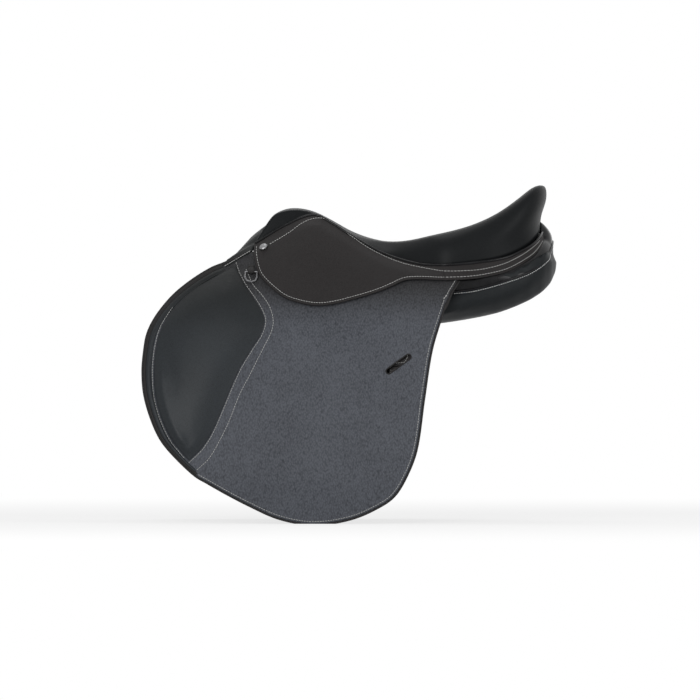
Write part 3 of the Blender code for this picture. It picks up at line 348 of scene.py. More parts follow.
def spline(points, at):
    # A smooth curve through points, straight beyond its ends.
    xs, ys = np.array(points, float).T
    slopes = np.gradient(ys, xs) * 0
    slopes[1:-1] = (ys[2:] - ys[:-2]) / (xs[2:] - xs[:-2])
    slopes[0] = (ys[1] - ys[0]) / (xs[1] - xs[0])
    slopes[-1] = (ys[-1] - ys[-2]) / (xs[-1] - xs[-2])
    at = np.asarray(at, float)
    i = np.clip(np.searchsorted(xs, at, side="right") - 1, 0, len(xs) - 2)
    h = xs[i + 1] - xs[i]
    t = np.clip((at - xs[i]) / h, 0, 1)
    inside = ((2 * t**3 - 3 * t**2 + 1) * ys[i] + (t**3 - 2 * t**2 + t) * h * slopes[i]
              + (3 * t**2 - 2 * t**3) * ys[i + 1] + (t**3 - t**2) * h * slopes[i + 1])
    return inside + slopes[0] * np.minimum(at - xs[0], 0) + slopes[-1] * np.maximum(at - xs[-1], 0)


def runAlong(path):
    return np.concatenate([[0], np.cumsum(np.linalg.norm(np.diff(path, axis=0), axis=1))])


def curved(at, steps, path):
    return np.stack([spline(np.stack([steps, column], axis=1), at) for column in path.T], axis=1)


def straight(at, steps, path):
    return np.stack([np.interp(at, steps, column) for column in path.T], axis=1)


def evenly(path, pitch):
    # Points at an even pitch along a smooth curve through these points.
    path = np.array(path, float)
    reach = runAlong(path)
    curve = curved(np.linspace(0, reach[-1], 12 * len(path)), reach, path)
    run = runAlong(curve)
    return straight(np.linspace(0, run[-1], max(int(round(run[-1] / pitch)) + 1, 2)), run, curve)


def dome(t):
    # Rises from 0 to 1 as a quarter of a wave.
    return np.sin(np.clip(t, 0, 1) * math.pi / 2)


def unit(vectors):
    return vectors / np.maximum(np.linalg.norm(vectors, axis=-1, keepdims=True), 1e-9)


# The horse's side and the seat's welt, which every leather follows
turnX, seatEnd, turnHalf, cantleSquare = 140.0, 284.0, 147.0, 0.6
rearSpan = seatEnd - turnX            # of the part that turns round the cantle, by x
rearRun = 240.0                       # and by the length of its outline, on each side


def weltZ(x):
    return spline([(-307, 38), (-222, 80), (-178, 102), (-142, 122), (-94, 150.4), (-54, 165), (-26, 152),
                   (0, 135.4), (48, 108.8), (100, 93), (140, 91), (190, 95), (230, 102), (256, 113.4),
                   (271, 123.1), (280, 133.8), (285, 142)], x)


def weltHalf(x):
    x = np.minimum(x, turnX)
    return spline([(-307, 98), (-222, 92), (-142, 72), (-57, 60), (0, 75.66), (50, 98.28), (100, 127),
                   (140, turnHalf)], x)


def sideHalf(x, z):
    x = np.minimum(x, turnX)
    top = weltZ(x)
    low = spline([(-307, 190), (-162, 203), (0, 213), (140, 213)], x)
    depth = np.clip((top - z) / (top - footZ), -0.1, 1.0)
    return mix(weltHalf(x), low, 1 - (1 - depth) ** 2)


def turnAngle(s):
    return (s - turnX) / rearSpan * math.pi / 2


def xOf(s):
    return np.where(s <= turnX, s, turnX + rearSpan * np.sin(turnAngle(s)))


def stationOfX(x):
    share = np.clip((x - turnX) / rearSpan, 0, 1)
    return np.where(x <= turnX, x, turnX + rearSpan * np.arcsin(share) / (math.pi / 2))


def rearStation(turn):
    across = np.cos(np.clip(turn, 0, 1) * math.pi / 2)
    return turnX + rearSpan * np.arccos(np.clip(across, 0, 1) ** (1 / cantleSquare)) / (math.pi / 2)


def stationOfRun(f):
    # Flat distance along the outline to station.
    return np.where(f <= turnX, f, rearStation((f - turnX) / rearRun))


def sideBase(s, z):
    s, z = np.broadcast_arrays(np.asarray(s, float), np.asarray(z, float))
    front = np.stack([s, sideHalf(s, z), z], axis=-1)
    angle = turnAngle(np.maximum(s, turnX))
    drop = weltZ(xOf(s)) - weltZ(turnX)
    half = sideHalf(np.full_like(z, turnX), z - drop)
    grow = (half - turnHalf) * (1 - 0.6 * np.sin(angle))
    across = np.sign(np.cos(angle)) * np.abs(np.cos(angle)) ** cantleSquare
    rear = np.stack([turnX + (rearSpan + grow) * np.sin(angle), (turnHalf + grow) * across, z], axis=-1)
    return np.where((s <= turnX)[..., None], front, rear)


def sideNormal(s, z):
    d = 1.5
    along = sideBase(s + d, z) - sideBase(s - d, z)
    up = sideBase(s, z + d) - sideBase(s, z - d)
    n = np.cross(up, along)
    n[..., 0] = np.where(np.asarray(s) <= turnX, 0.0, n[..., 0])
    return unit(n)


def sidePoint(s, z, out=0.0):
    level = sideNormal(s, z) * [1, 1, 0]
    share = np.asarray(out) / np.sum(level * level, axis=-1)
    return sideBase(s, z) + level * share[..., None]


lie = {   # how far out the back of the flap and the skirt lies, and over what heights that changes
    "flapTop": 4.5, "flapFoot": 7.55, "flap": 15.1, "footRise": 70, "topRise": 60,
    "skirtTop": 0.8, "skirt": 1.5, "overFlap": 6.0, "skirtRise": 18, "flapEnd": 42, "step": 30,
}


def flapOut(s, z):
    full = mix(lie["flapFoot"], lie["flap"], smooth((z - footZ) / lie["footRise"]))
    return mix(lie["flapTop"], full, smooth((weltZ(xOf(s)) - z) / lie["topRise"]))


def skirtOut(s, z):
    onFlap = smooth((turnX + lie["flapEnd"] - s) / lie["step"])
    over = mix(lie["skirt"], flapOut(s, z) + lie["overFlap"], onFlap)
    return mix(lie["skirtTop"], over, smooth((weltZ(xOf(s)) - z) / lie["skirtRise"]))


# Makers of pieces
def newPiece(name, bm, sharp=50):
    bmesh.ops.recalc_face_normals(bm, faces=bm.faces)
    mesh = bpy.data.meshes.new(name)
    bm.to_mesh(mesh)
    bm.free()
    mesh.shade_smooth()
    mesh.set_sharp_from_angle(angle=math.radians(sharp))
    return linked(name, mesh)


def points(piece):
    co = np.empty(len(piece.data.vertices) * 3)
    piece.data.vertices.foreach_get("co", co)
    return co.reshape(-1, 3)


def setPoints(piece, co):
    piece.data.vertices.foreach_set("co", np.ascontiguousarray(co, dtype=float).ravel())
    piece.data.update()


def spread(name, columns, rows, place, sharp=50, capped=False, scale=mm):
    # A grid laid over a surface, or rolled up where its edges meet.
    bm = bmesh.new()
    bmesh.ops.create_grid(bm, x_segments=columns, y_segments=rows, size=1)
    uv = (np.array([v.co[:2] for v in bm.verts]) + 1) / 2
    for vert, spot in zip(bm.verts, place(uv[:, 0], uv[:, 1])):
        vert.co = spot * scale
    bmesh.ops.remove_doubles(bm, verts=bm.verts, dist=0.02 * scale)
    ends = [e for e in bm.edges if e.is_boundary]
    if capped and ends:
        bmesh.ops.holes_fill(bm, edges=ends, sides=0)
    return newPiece(name, bm, sharp)


def finishModifiers(piece):
    graph = bpy.context.evaluated_depsgraph_get()
    made = bpy.data.meshes.new_from_object(piece.evaluated_get(graph), depsgraph=graph)
    piece.modifiers.clear()
    piece.data = made
    return piece


def thicken(piece, wall, side=-1):
    solid = piece.modifiers.new("wall", "SOLIDIFY")
    solid.thickness = wall * mm
    solid.offset = side
    finishModifiers(piece).data.shade_smooth()


def smoother(piece):
    fine = piece.modifiers.new("fine", "SUBSURF")
    fine.levels = 1
    fine.render_levels = 1
    finishModifiers(piece).data.shade_smooth()
    return piece


def sweep(name, path, profile, closed=False, sizes=None):
    # A profile, in (sideways, outwards), drawn along a flat path of (along, up).
    path = np.array(path, float)
    ahead = np.roll(path, -1, 0) - np.roll(path, 1, 0) if closed else np.gradient(path, axis=0)
    ahead = unit(ahead)
    aside = np.stack([-ahead[:, 1], ahead[:, 0]], axis=1)
    loop = np.array(list(profile) + [profile[0]], float)
    if closed:
        path, aside = np.vstack([path, path[:1]]), np.vstack([aside, aside[:1]])
    steps = np.arange(len(path))

    def place(u, v):
        k, j = u * (len(loop) - 1), v * (len(path) - 1)
        a, b = (np.interp(k, np.arange(len(loop)), loop[:, i]) for i in (0, 1))
        if sizes is not None:
            a = a * np.interp(j, steps, sizes)
        x, z, ax, az = (np.interp(j, steps, col) for col in (*path.T, *aside.T))
        return np.stack([x + ax * a, -b, z + az * a], axis=1)

    return spread(name, len(loop) - 1, len(path) - 1, place, capped=not closed, scale=1.0)


def outlineNormals(outline):
    # Unit vectors in the plane, pointing out of a closed outline.
    outline = np.array(outline, float)
    ahead = np.roll(outline, -1, 0) - np.roll(outline, 1, 0)
    aside = unit(np.stack([ahead[:, 1], -ahead[:, 0]], axis=1))
    nextOnes = np.roll(outline, -1, 0)
    area = np.sum(outline[:, 0] * nextOnes[:, 1] - nextOnes[:, 0] * outline[:, 1])
    return aside if area > 0 else -aside


def grown(outline, amount):
    return np.array(outline, float) + outlineNormals(outline) * amount


def closedSmooth(outline, pitch):
    # An even, smooth closed curve through these points.
    ring = np.array([*outline[-3:], *outline, *outline[:4]], float)
    reach = runAlong(ring)
    first, last = reach[3], reach[-4]
    return curved(np.linspace(first, last, int((last - first) / pitch), endpoint=False), reach, ring)


def distanceTo(outline, co, closed=True):
    best = np.full(len(co), 1e9)
    outline = np.array(outline, float)
    ends = np.roll(outline, -1, 0) if closed else outline[1:]
    for a, b in zip(outline, ends):
        d = b - a
        t = np.clip(((co - a) @ d) / max(d @ d, 1e-9), 0, 1)
        best = np.minimum(best, np.linalg.norm(co - a - t[:, None] * d, axis=1))
    return best


def cutLeather(name, outline, wall, step=6.0, holes=(), edge=None, ring=1.3, rim=3):
    # A flat sheet with softly rounded edges, lying in the plane of along and up; its back is at 0.
    edge = wall * 0.42 if edge is None else edge
    loops = [grown(outline, -edge)] + [grown(hole, edge) for hole in holes]
    bm = bmesh.new()
    for loop in loops:
        verts = [bm.verts.new((x, 0, z)) for x, z in loop]
        for i, v in enumerate(verts):
            bm.edges.new((v, verts[(i + 1) % len(verts)]))
    bmesh.ops.triangle_fill(bm, use_beauty=True, use_dissolve=False, edges=bm.edges)
    bmesh.ops.recalc_face_normals(bm, faces=bm.faces)
    bmesh.ops.inset_region(bm, faces=bm.faces, thickness=ring, use_boundary=True, use_even_offset=True)
    low, high = np.min(loops[0], axis=0), np.max(loops[0], axis=0)
    for axis, normal in ((0, (1, 0, 0)), (1, (0, 0, 1))):
        for k in range(math.ceil(low[axis] / step), math.floor(high[axis] / step) + 1):
            spot = [0.0, 0.0, 0.0]
            spot[2 * axis] = k * step
            bmesh.ops.bisect_plane(bm, geom=bm.verts[:] + bm.edges[:] + bm.faces[:], plane_co=spot,
                                   plane_no=normal, dist=0.05)
    rims = {}
    for v in bm.verts:
        ends = [e for e in v.link_edges if e.is_boundary]
        if ends:
            face = ends[0].link_faces[0]
            away = Vector((0, 0, 0))
            for e in ends:
                across = (e.verts[1].co - e.verts[0].co).cross(Vector((0, 1, 0))).normalized()
                centre = e.link_faces[0].calc_center_median() - e.verts[0].co
                away += across if across.dot(centre) < 0 else -across
            rims[(round(v.co.x, 3), round(v.co.z, 3))] = away.normalized()
    made = bmesh.ops.extrude_face_region(bm, geom=bm.faces[:], use_keep_orig=True)
    raised = [g for g in made["geom"] if isinstance(g, bmesh.types.BMVert)]
    for v in raised:
        v.co.y = -wall
    uprights = [e for e in bm.edges if abs(e.verts[0].co.y - e.verts[1].co.y) > wall / 2]
    bmesh.ops.subdivide_edges(bm, edges=uprights, cuts=rim, use_grid_fill=True)
    for v in bm.verts:
        level = -v.co.y / wall
        away = rims.get((round(v.co.x, 3), round(v.co.z, 3)))
        if away is not None and 0.01 < level < 0.99:
            v.co += away * edge * math.sqrt(1 - (2 * level - 1) ** 2)
    return newPiece(name, bm, 75)


def wrap(piece, inner, stationOf=stationOfX):
    # Lays a flat piece on the near side; inner says how far its back stands out there.
    co = points(piece)
    s, z = stationOf(co[:, 0]), co[:, 2]
    setPoints(piece, sidePoint(s, z, inner(s, z) - co[:, 1]) * toNear * mm)
    return piece


def standing(out):
    # The back of a leather that lies at one distance all over.
    return lambda s, z: 0 * s + out


stitching = {"inset": 3.6, "lift": 0.15}   # in from the leather's edge, and up from its face


def threads(name, path, pitch=3.9, length=4.1, radius=0.5):
    # One small stitch after another along a path.
    spots = evenly(path, pitch)
    bm = bmesh.new()
    for spot, way in zip(spots, unit(np.gradient(spots, axis=0))):
        turn = Vector(way).to_track_quat("X", "Z").to_matrix().to_4x4()
        size = Matrix.Diagonal((length / 2, radius, radius, 1))
        bmesh.ops.create_uvsphere(bm, u_segments=6, v_segments=4, radius=1.0,
                                  matrix=Matrix.Translation(spot) @ turn @ size)
    return newPiece(name, bm, 80)


def roundCord(name, path, radius, columns=8):
    # A round cord along a path in space.
    ahead = unit(np.gradient(path, axis=0))
    across = np.cross(ahead, [0, 0, 1.0])
    steep = np.linalg.norm(across, axis=1) < 0.2
    across[steep] = np.cross(ahead[steep], [0, 1.0, 0])
    across = unit(across)
    up = np.cross(across, ahead)
    steps = np.arange(len(path))

    def place(u, v):
        turn = u[:, None] * 2 * math.pi
        p, a, b = (straight(v * steps[-1], steps, m) for m in (path, across, up))
        return p + (a * np.cos(turn) + b * np.sin(turn)) * radius

    return spread(name, columns, len(path) - 1, place, capped=True)


def merged(node):
    bm = bmesh.new()
    bm.from_mesh(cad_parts[node].data)
    bmesh.ops.remove_doubles(bm, verts=bm.verts, dist=0.02 * mm)
    return bm


def cadCopy(node, name):
    # A softened copy of a frame solid, with its triangles joined to larger faces first.
    bm = merged(node)
    bmesh.ops.join_triangles(bm, faces=bm.faces, angle_face_threshold=0.6, angle_shape_threshold=0.6)
    return smoother(newPiece(name, bm, 60))


def mirrored(piece, name):
    mesh = piece.data.copy()
    bm = bmesh.new()
    bm.from_mesh(mesh)
    bmesh.ops.scale(bm, vec=(1, -1, 1), verts=bm.verts)
    bmesh.ops.reverse_faces(bm, faces=bm.faces)
    bm.to_mesh(mesh)
    bm.free()
    return linked(name, mesh)


def dress(piece, finish, body, stands=()):
    piece.data.materials.clear()
    piece.data.materials.append(finishes[finish])
    if "~" in body:
        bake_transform(piece)
    else:
        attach(piece, body)
    if stands:
        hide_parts(*stands)


def dressPair(piece, base, finish, body, stands=()):
    # The near piece, and its twin on the off side. {} in a name is the side.
    twin = mirrored(piece, base + "Right")
    piece.name = base + "Left"
    for made, side in ((piece, "left"), (twin, "right")):
        dress(made, finish, body.format(side), [node.format(side) for node in stands])


def sew(name, path, inner, out, body="{}~flap", stationOf=stationOfX):
    # Stitches along a flat path of (along, up), laid on the leather's face on both sides.
    flat = np.array(path, float)
    lifted = np.stack([flat[:, 0], np.full(len(flat), -out), flat[:, 1]], axis=1)
    dressPair(wrap(threads(name, lifted), inner, stationOf), name, "thread", body)


def edging(name, path, profile, finish="plain", slot="plain_leather", inner=flapOut, body="{}~flap",
           stationOf=stationOfX, **shape):
    # A strip, binding or roll that runs along a flat path, on both sides.
    dressPair(wrap(sweep(name, path, profile, **shape), inner, stationOf), name, finish, body)


stuffing = {"use_pressure": True, "quality": 5, "mass": 0.4, "tension_stiffness": 25, "bending_stiffness": 2.0}


def puff(piece, cap, pressure, frames, pinned=None):
    # Blows a stuffed piece up a little, as cloth, and lets no point move further than the cap.
    before = points(piece)
    cloth = piece.modifiers.new("cloth", "CLOTH")
    for key, value in stuffing.items():
        setattr(cloth.settings, key, value)
    cloth.settings.uniform_pressure_force = pressure
    cloth.settings.effector_weights.gravity = 0
    if pinned is not None:
        group = piece.vertex_groups.new(name="sewn")
        group.add([int(i) for i in np.flatnonzero(pinned)], 1.0, "REPLACE")
        cloth.settings.vertex_group_mass = "sewn"
        cloth.settings.pin_stiffness = 1.0
    scene = bpy.context.scene
    for k in range(1, frames + 1):
        scene.frame_set(k)
    finishModifiers(piece)
    moved = points(piece) - before
    far = np.linalg.norm(moved, axis=1, keepdims=True)
    setPoints(piece, before + moved * np.minimum(1, cap * mm / np.maximum(far, 1e-9)))
    scene.frame_set(1)


def softBlock(node, name, voxel, shrink):
    # A stuffed piece's first form: the frame's solid, evenly meshed, rounded and a little smaller.
    piece = newPiece(name, merged(node))
    even = piece.modifiers.new("even", "REMESH")
    even.mode = "VOXEL"
    even.voxel_size = voxel * mm
    soft = piece.modifiers.new("soft", "SMOOTH")
    soft.factor = 0.5
    soft.iterations = 5
    slim = piece.modifiers.new("slim", "DISPLACE")
    slim.mid_level = 0.0
    slim.strength = -shrink * mm
    finishModifiers(piece).data.shade_smooth()
    return piece


# Seat
seat = {
    "cover": 2.0, "foam": 9.0, "gap": 2.5, "foamShare": 0.92,
    "core": 50.0,                    # x from which the top spreads out to its edge
    "crest": 0.64,                   # share of the rows that lie on the top, the others go down the side
    "front": -142.0, "overhang": 1.085, "over": 18, "sag": 16, "pinch": 5.5, "pinchRise": 0.62,
}


def middleZ(x):
    return spline([(-137, 148.5), (-114, 168), (-84, 174.5), (-54, 169.5), (-20, 152.5), (0, 140.9),
                   (32, 129), (75, 122), (120, 124), (160, 130), (190, 138), (220, 151), (250, 173.2),
                   (268, 192.6), (282, 206), (298, 219)], x)


def rimRise(x):
    return spline([(-142, -8), (0, -8), (75, 3.3), (130, 7.7), (190, 11), (245, 17.6), (284, 28.6)], x)


def seatTop(x, y):
    return middleZ(x) + rimRise(x) * (y / 100) ** 2


def seatEdge():
    # The near half of the seat's lower edge, and how far out the top rounds over into the side there.
    edge = [(-102, 0.0, 165.5, 0.93), (-111, 25.9, 160.5, 0.92), (-126, 50.4, 146, 0.90), (-138, 66.2, 129, 0.88)]
    for s in [*np.linspace(seat["front"], turnX, 14), *rearStation(np.arange(1, 11) / 10)]:
        t = (s - seat["front"]) / (seatEnd - seat["front"])
        p = sideBase(s, weltZ(xOf(s)))
        share = float(spline([(0, 0.86), (0.2, 0.80), (0.45, 0.74), (0.7, 0.80), (0.88, 0.93), (1, 0.985)], t))
        edge.append((*p, share))
    edge[-1] = (edge[-1][0], 0.0, *edge[-1][2:])
    return edge


def makeSeat():
    half = seatEdge()
    ring = np.array(half + [(x, -y, z, c) for x, y, z, c in half[-2:0:-1]])
    ring = np.vstack([ring[-3:], ring, ring[:4]])
    reach = runAlong(ring[:, :3])

    def rim(u):
        return curved(mix(reach[3], reach[-4], u), reach, ring).T

    def padding(u, v):
        # Out across its upper side and back along its lower one.
        x, y, z, share = rim(u)
        r = 1 - np.abs(2 * v - 1)
        share = share * seat["foamShare"] * r
        px, py = seat["core"] + (x - seat["core"]) * share, y * share
        low = np.where(v > 0.5, seat["foam"] * (1 - r**6), 0)
        return np.stack([px, py, seatTop(px, py) - seat["cover"] - seat["gap"] - low - 3 * r**8], axis=1)

    def place(u, v):
        x, y, z, share = rim(u)
        flat = np.stack([x - seat["core"], y], axis=1)

        def onTop(size):
            px, py = seat["core"] + flat[:, 0] * size, flat[:, 1] * size
            return np.stack([px, py, seatTop(px, py)], axis=1)

        top = onTop(share * np.minimum(v / seat["crest"], 1.0))
        crest = onTop(share)
        flare = np.where(x > 0, smooth((share - 0.80) / 0.18), 0.0)
        over = onTop(mix(1.0, seat["overhang"], flare))
        high = np.minimum(over[:, 2], crest[:, 2] + seat["over"]) - mix(seat["sag"], 0, flare)
        over[:, 2] = np.maximum(high, z + 2)
        end = np.stack([x, y, np.minimum(z, seatTop(x, y))], axis=1)
        t = np.clip((v - seat["crest"]) / (1 - seat["crest"]), 0, 1)[:, None]
        side = (1 - t) ** 2 * crest + 2 * t * (1 - t) * over + t * t * end
        climb = np.clip((side[:, 2] - end[:, 2]) / np.maximum(crest[:, 2] - end[:, 2], 1), 0, 1)
        hollow = seat["pinch"] * flare * np.sin(math.pi * np.clip(climb / seat["pinchRise"], 0, 1))
        side[:, :2] -= unit(flat) * hollow[:, None]
        return np.where((v <= seat["crest"])[:, None], top, side)

    cover = spread("seatLeather", 240, 60, place, sharp=180)
    bm = bmesh.new()
    bm.from_mesh(cover.data)
    inside = [v for v in bm.verts if not v.is_boundary]
    for _ in range(12):
        bmesh.ops.smooth_vert(bm, verts=inside, factor=0.5, use_axis_x=True, use_axis_y=True, use_axis_z=True)
    bm.to_mesh(cover.data)
    bm.free()
    foam = spread("seatPadding", 120, 40, padding, sharp=180)
    thicken(cover, seat["cover"])
    dress(cover, "seat", "saddle", ["seat_cover"])
    dress(foam, "foam", "saddle", ["seat_foam"])


welt = {"radius": 2.1, "lift": -0.6, "out": 3.0}


def makeWelt():
    near = np.concatenate([np.linspace(-141, turnX, 60), stationOfRun(turnX + np.linspace(0.02, 1, 50) * rearRun)])
    spots = sidePoint(near, weltZ(xOf(near)) + welt["lift"], np.full(len(near), welt["out"])) * toNear
    spots[-1, 1] = 0.0
    path = evenly(np.vstack([spots, spots[-2::-1] * toNear]), 4.0)
    dress(roundCord("seatWelt", path, welt["radius"], columns=10), "piping", "saddle", ["seat_piping"])


# Skirts
skirt = {
    "wall": 3.5,
    "low": [(-140.5, 105), (-138, 90), (-132, 75), (-118, 59.4), (-98, 43.5), (-74, 35), (-48, 31), (-26, 33),
            (7, 41), (40, 51), (62, 60), (80, 68), (100, 70), (140, 69), (180, 71), (210, 76), (233, 83),
            (256, 96), (271, 108), (284, 127)],
    "belowWelt": 1.8,
    "end": 0.80,                     # share of the run round the cantle that it covers
}


def skirtLow(x):
    return spline(skirt["low"], x)


def runOfStation(x):
    # Flat distance along the outline at this x.
    share = np.clip((x - turnX) / rearSpan, 0, 1)
    across = np.cos(np.arcsin(share)) ** cantleSquare
    return np.where(x <= turnX, x, turnX + rearRun * np.arccos(across) / (math.pi / 2))


def makeSkirts():
    run = np.concatenate([np.linspace(-138, turnX, 60), turnX + np.linspace(0.02, skirt["end"], 40) * rearRun])
    xs = xOf(stationOfRun(run))
    low = np.stack([run, skirtLow(xs)], axis=1)[8:]
    top = weltZ(xs) - skirt["belowWelt"]
    tip = run[-1] + np.array([2.6, 3.8, 2.6])
    tip = np.stack([tip, mix(low[-1, 1], top[-1], np.array([0.22, 0.5, 0.78]))], axis=1)
    front = evenly([(-142.5, 121), (-142.8, 113), (-142.3, 105), (-139.5, 90), (-133.5, 75.5), (-122, 62.5),
                    (-108, 50.5), *low[:2]], 4.0)
    lower = np.vstack([front[:-1], low[1:]])
    outline = np.vstack([lower, tip, np.stack([run, top], axis=1)[::-1]])
    sheet = wrap(cutLeather("skirt", outline, skirt["wall"], edge=1.2), skirtOut, stationOfRun)
    dressPair(sheet, "skirt", "skirt", "{}~skirt", ["skirt_lobe_{}", "skirt_band_{}"])

    rim = evenly(lower[2:], 4.0)
    profile = [(-0.6, 0.6), (-1.0, 2.2), (-0.7, 3.7), (0.1, 4.4), (1.3, 4.4), (2.1, 3.9), (2.4, 3.3), (1.0, 3.0)]
    edging("skirtBinding", rim, profile, "skirt", "skirt_leather", skirtOut, "{}~skirt", stationOfRun)

    face = skirt["wall"] + stitching["lift"]
    upper = [(-118, 122), (-91, 138.2), (-70, 153.2), (-52, 159.6), (-37, 158.5), (-15, 145.5), (7, 129.5),
             (29, 115), (57, 101), (83, 92), (112, 86), (138, 82), (164, 82), (195, 84.5), (226, 92.5),
             (248, 103), (265, 114.5), (277, 126)]
    upper = [(float(runOfStation(x)), z) for x, z in upper]
    sew("skirtStitchUpper", upper, skirtOut, face, "{}~skirt", stationOfRun)
    inset = grown(outline, -stitching["inset"])[1:len(lower) - 3]
    sew("skirtStitchLower", inset, skirtOut, face + 0.1, "{}~skirt", stationOfRun)


# Flaps
flap = {
    "wall": 4.0, "frontDrop": 25, "rearDrop": 17.5,      # how far its top lies below the welt
    "outline": [(161, 72), (154, 60), (147, 48), (134, 11), (120, -37), (109, -107), (98, -182), (83, -222),
                (64, -252), (37, -270), (4, -284), (-36, -292), (-69, -292), (-109, -283), (-145, -267),
                (-182, -248), (-212, -231), (-229, -221), (-258, -194), (-279, -169), (-293, -140),
                (-304, -103), (-307, -69), (-305, -40), (-300, -12), (-287, 14), (-264, 42), (-236, 65),
                (-207, 83), (-186, 91.5), (-164, 102), (-147, 109.5)],
    "slot": {"x": 72.0, "z": -56.0, "length": 43.0, "width": 7.0, "tilt": 36.0},
    "window": [(-102, 84), (-102, 100), (-94, 108), (-68, 110), (-42, 108), (-34, 100), (-34, 84), (-42, 77),
               (-68, 76), (-94, 77)],
}
padRear = [(-169, 93), (-164, 79), (-153, 59), (-139, 39), (-129, 22), (-125, 8), (-130, -12), (-144.5, -35),
           (-161.5, -63), (-176, -95), (-190, -129), (-204, -160), (-219, -183), (-238.5, -202)]
padFront = [(-247, -194), (-267, -169), (-281, -140), (-290, -109), (-293, -80), (-292, -46), (-287, -18),
            (-280, 2), (-262, 30), (-236, 54), (-205, 73)]
kneePad = {"rise": 13.0, "flange": 1.2, "lift": 0.6, "soft": 4.0, "shoulder": 46, "ridge": 12, "ridgeBack": 42}


def slotOutline(grow=0.0):
    spec = flap["slot"]
    tilt = math.radians(spec["tilt"])
    made = []
    for end in (1, -1):
        for k in range(9):
            a = -math.pi / 2 + math.pi * k / 8
            half = spec["width"] / 2 + grow
            u = end * ((spec["length"] - spec["width"]) / 2 + math.cos(a) * half)
            v = end * math.sin(a) * half
            made.append((spec["x"] + u * math.cos(tilt) - v * math.sin(tilt),
                         spec["z"] + u * math.sin(tilt) + v * math.cos(tilt)))
    return made


def makeFlaps():
    outer = evenly(flap["outline"], 4.5)
    top = [(x, float(weltZ(x)) - flap["frontDrop"]) for x in (-130, -112, -90, -67, -54, -42, -26, 0, 24, 50)]
    top += [(x, float(weltZ(x)) - flap["rearDrop"]) for x in (86, 112, 140)]
    upper = evenly([(-138, 107)] + top + [(152, 79), (159, 76)], 6.0)
    outline = np.vstack([outer, upper])
    face = flap["wall"]
    sheet = cutLeather("flap", outline, face, holes=[slotOutline(), closedSmooth(flap["window"], 5)])
    dressPair(wrap(sheet, flapOut), "flap", "flap", "{}~flap", ["flap_{}", "flap_head_{}"])

    profile = [(-0.2, 0.3), (-0.8, 2.0), (-0.4, 3.9), (0.5, 4.5), (2.0, 4.5), (2.6, 4.1), (1.2, 3.4)]
    edging("flapBinding", outer[1:-2], profile)

    inset = grown(outline, -stitching["inset"])[:len(outer) - 1]
    step = int(np.argmin(np.linalg.norm(inset - [-226, -214], axis=1)))
    sew("flapStitchEdge", inset[:step], flapOut, face + stitching["lift"])
    second = [(-154, 83), (-144.5, 62), (-130, 45), (-119, 28), (-114, 8), (-117, -9), (-130, -35), (-147, -69),
              (-164.5, -103), (-179, -140), (-196, -174.5), (-210, -197), (-226, -212)]
    sew("flapStitchSecond", second, flapOut, face + stitching["lift"])
    sew("flapStitchFirst", padRear, flapOut, face + 0.5)

    turns = np.arange(8) * math.pi / 4
    profile = np.stack([0.9 * np.cos(turns), face + 0.63 * np.sin(turns)], axis=1)
    edging("slotLip", slotOutline(0.6), profile, closed=True)


def makeKneePads():
    rear = evenly(padRear, 5.0)
    front = evenly(padFront, 5.0)
    outline = grown(np.vstack([rear, front]), -2.0)
    flat = cutLeather("kneePad", outline, kneePad["flange"], 5.0, edge=0.4, rim=1)
    co = points(flat)
    flange = kneePad["flange"]
    inside, fromFront, fromRear = (distanceTo(line, co[:, [0, 2]], closed)
                                   for line, closed in ((outline, True), (front, False), (rear, False)))
    fromFront = np.minimum(fromFront, inside)
    top = -co[:, 1] > flange * 0.9
    ridge = smooth((-10 - co[:, 2]) / 70) * smooth((-co[:, 0] - 200) / 40)
    share = np.maximum(dome(inside / kneePad["shoulder"]) ** 0.9,
                       ridge * 0.86 * dome(fromFront / kneePad["ridge"]) * dome(fromRear / kneePad["ridgeBack"]))
    share += 0.16 * ridge * np.exp(-((fromFront - kneePad["ridge"]) / 5) ** 2)
    co[top, 1] = -(flange + (kneePad["rise"] - flange - 1.5) * share[top])
    setPoints(flat, co)
    wrap(flat, lambda s, z: flapOut(s, z) + flap["wall"] + kneePad["lift"])
    puff(flat, kneePad["soft"], 3.0, 14, ~top | (inside < 3))
    dressPair(smoother(flat), "kneePad", "pad", "{}~flap", ["knee_pad_{}"])

    strip = flap["outline"][17:29] + [(-190, 90)]
    edge = evenly(strip, 5.0)
    aside = unit(np.gradient(edge, axis=0))[:, ::-1] * [1, -1]
    inward = aside if (aside[20] @ [1, 0]) > 0 else -aside
    outer = [(-2.6, 1.0), (-2.9, 3.0), (-2.0, 4.8), (0.0, 5.3), (1.7, 4.9), (2.4, 4.1), (2.0, 2.0), (0.0, 0.4)]
    edging("frontStrip", edge + inward * 2.0, outer)
    soft = [(-4.3, 3.6), (-3.8, 4.9), (-2.2, 6.1), (0.0, 6.6), (2.2, 6.1), (3.8, 4.9), (4.3, 3.6)]
    slim = mix(0.5, 1.0, smooth(np.linspace(0, 1, len(edge)) / 0.34))
    middle = edge + inward * mix(4.6, 8.0, (slim - 0.5) * 2)[:, None]
    edging("frontRoll", middle[1:], soft, "pad", "smooth_leather", sizes=slim[1:])
    sew("padStitchFront", padFront[:-2], flapOut, flap["wall"] + 1.6)


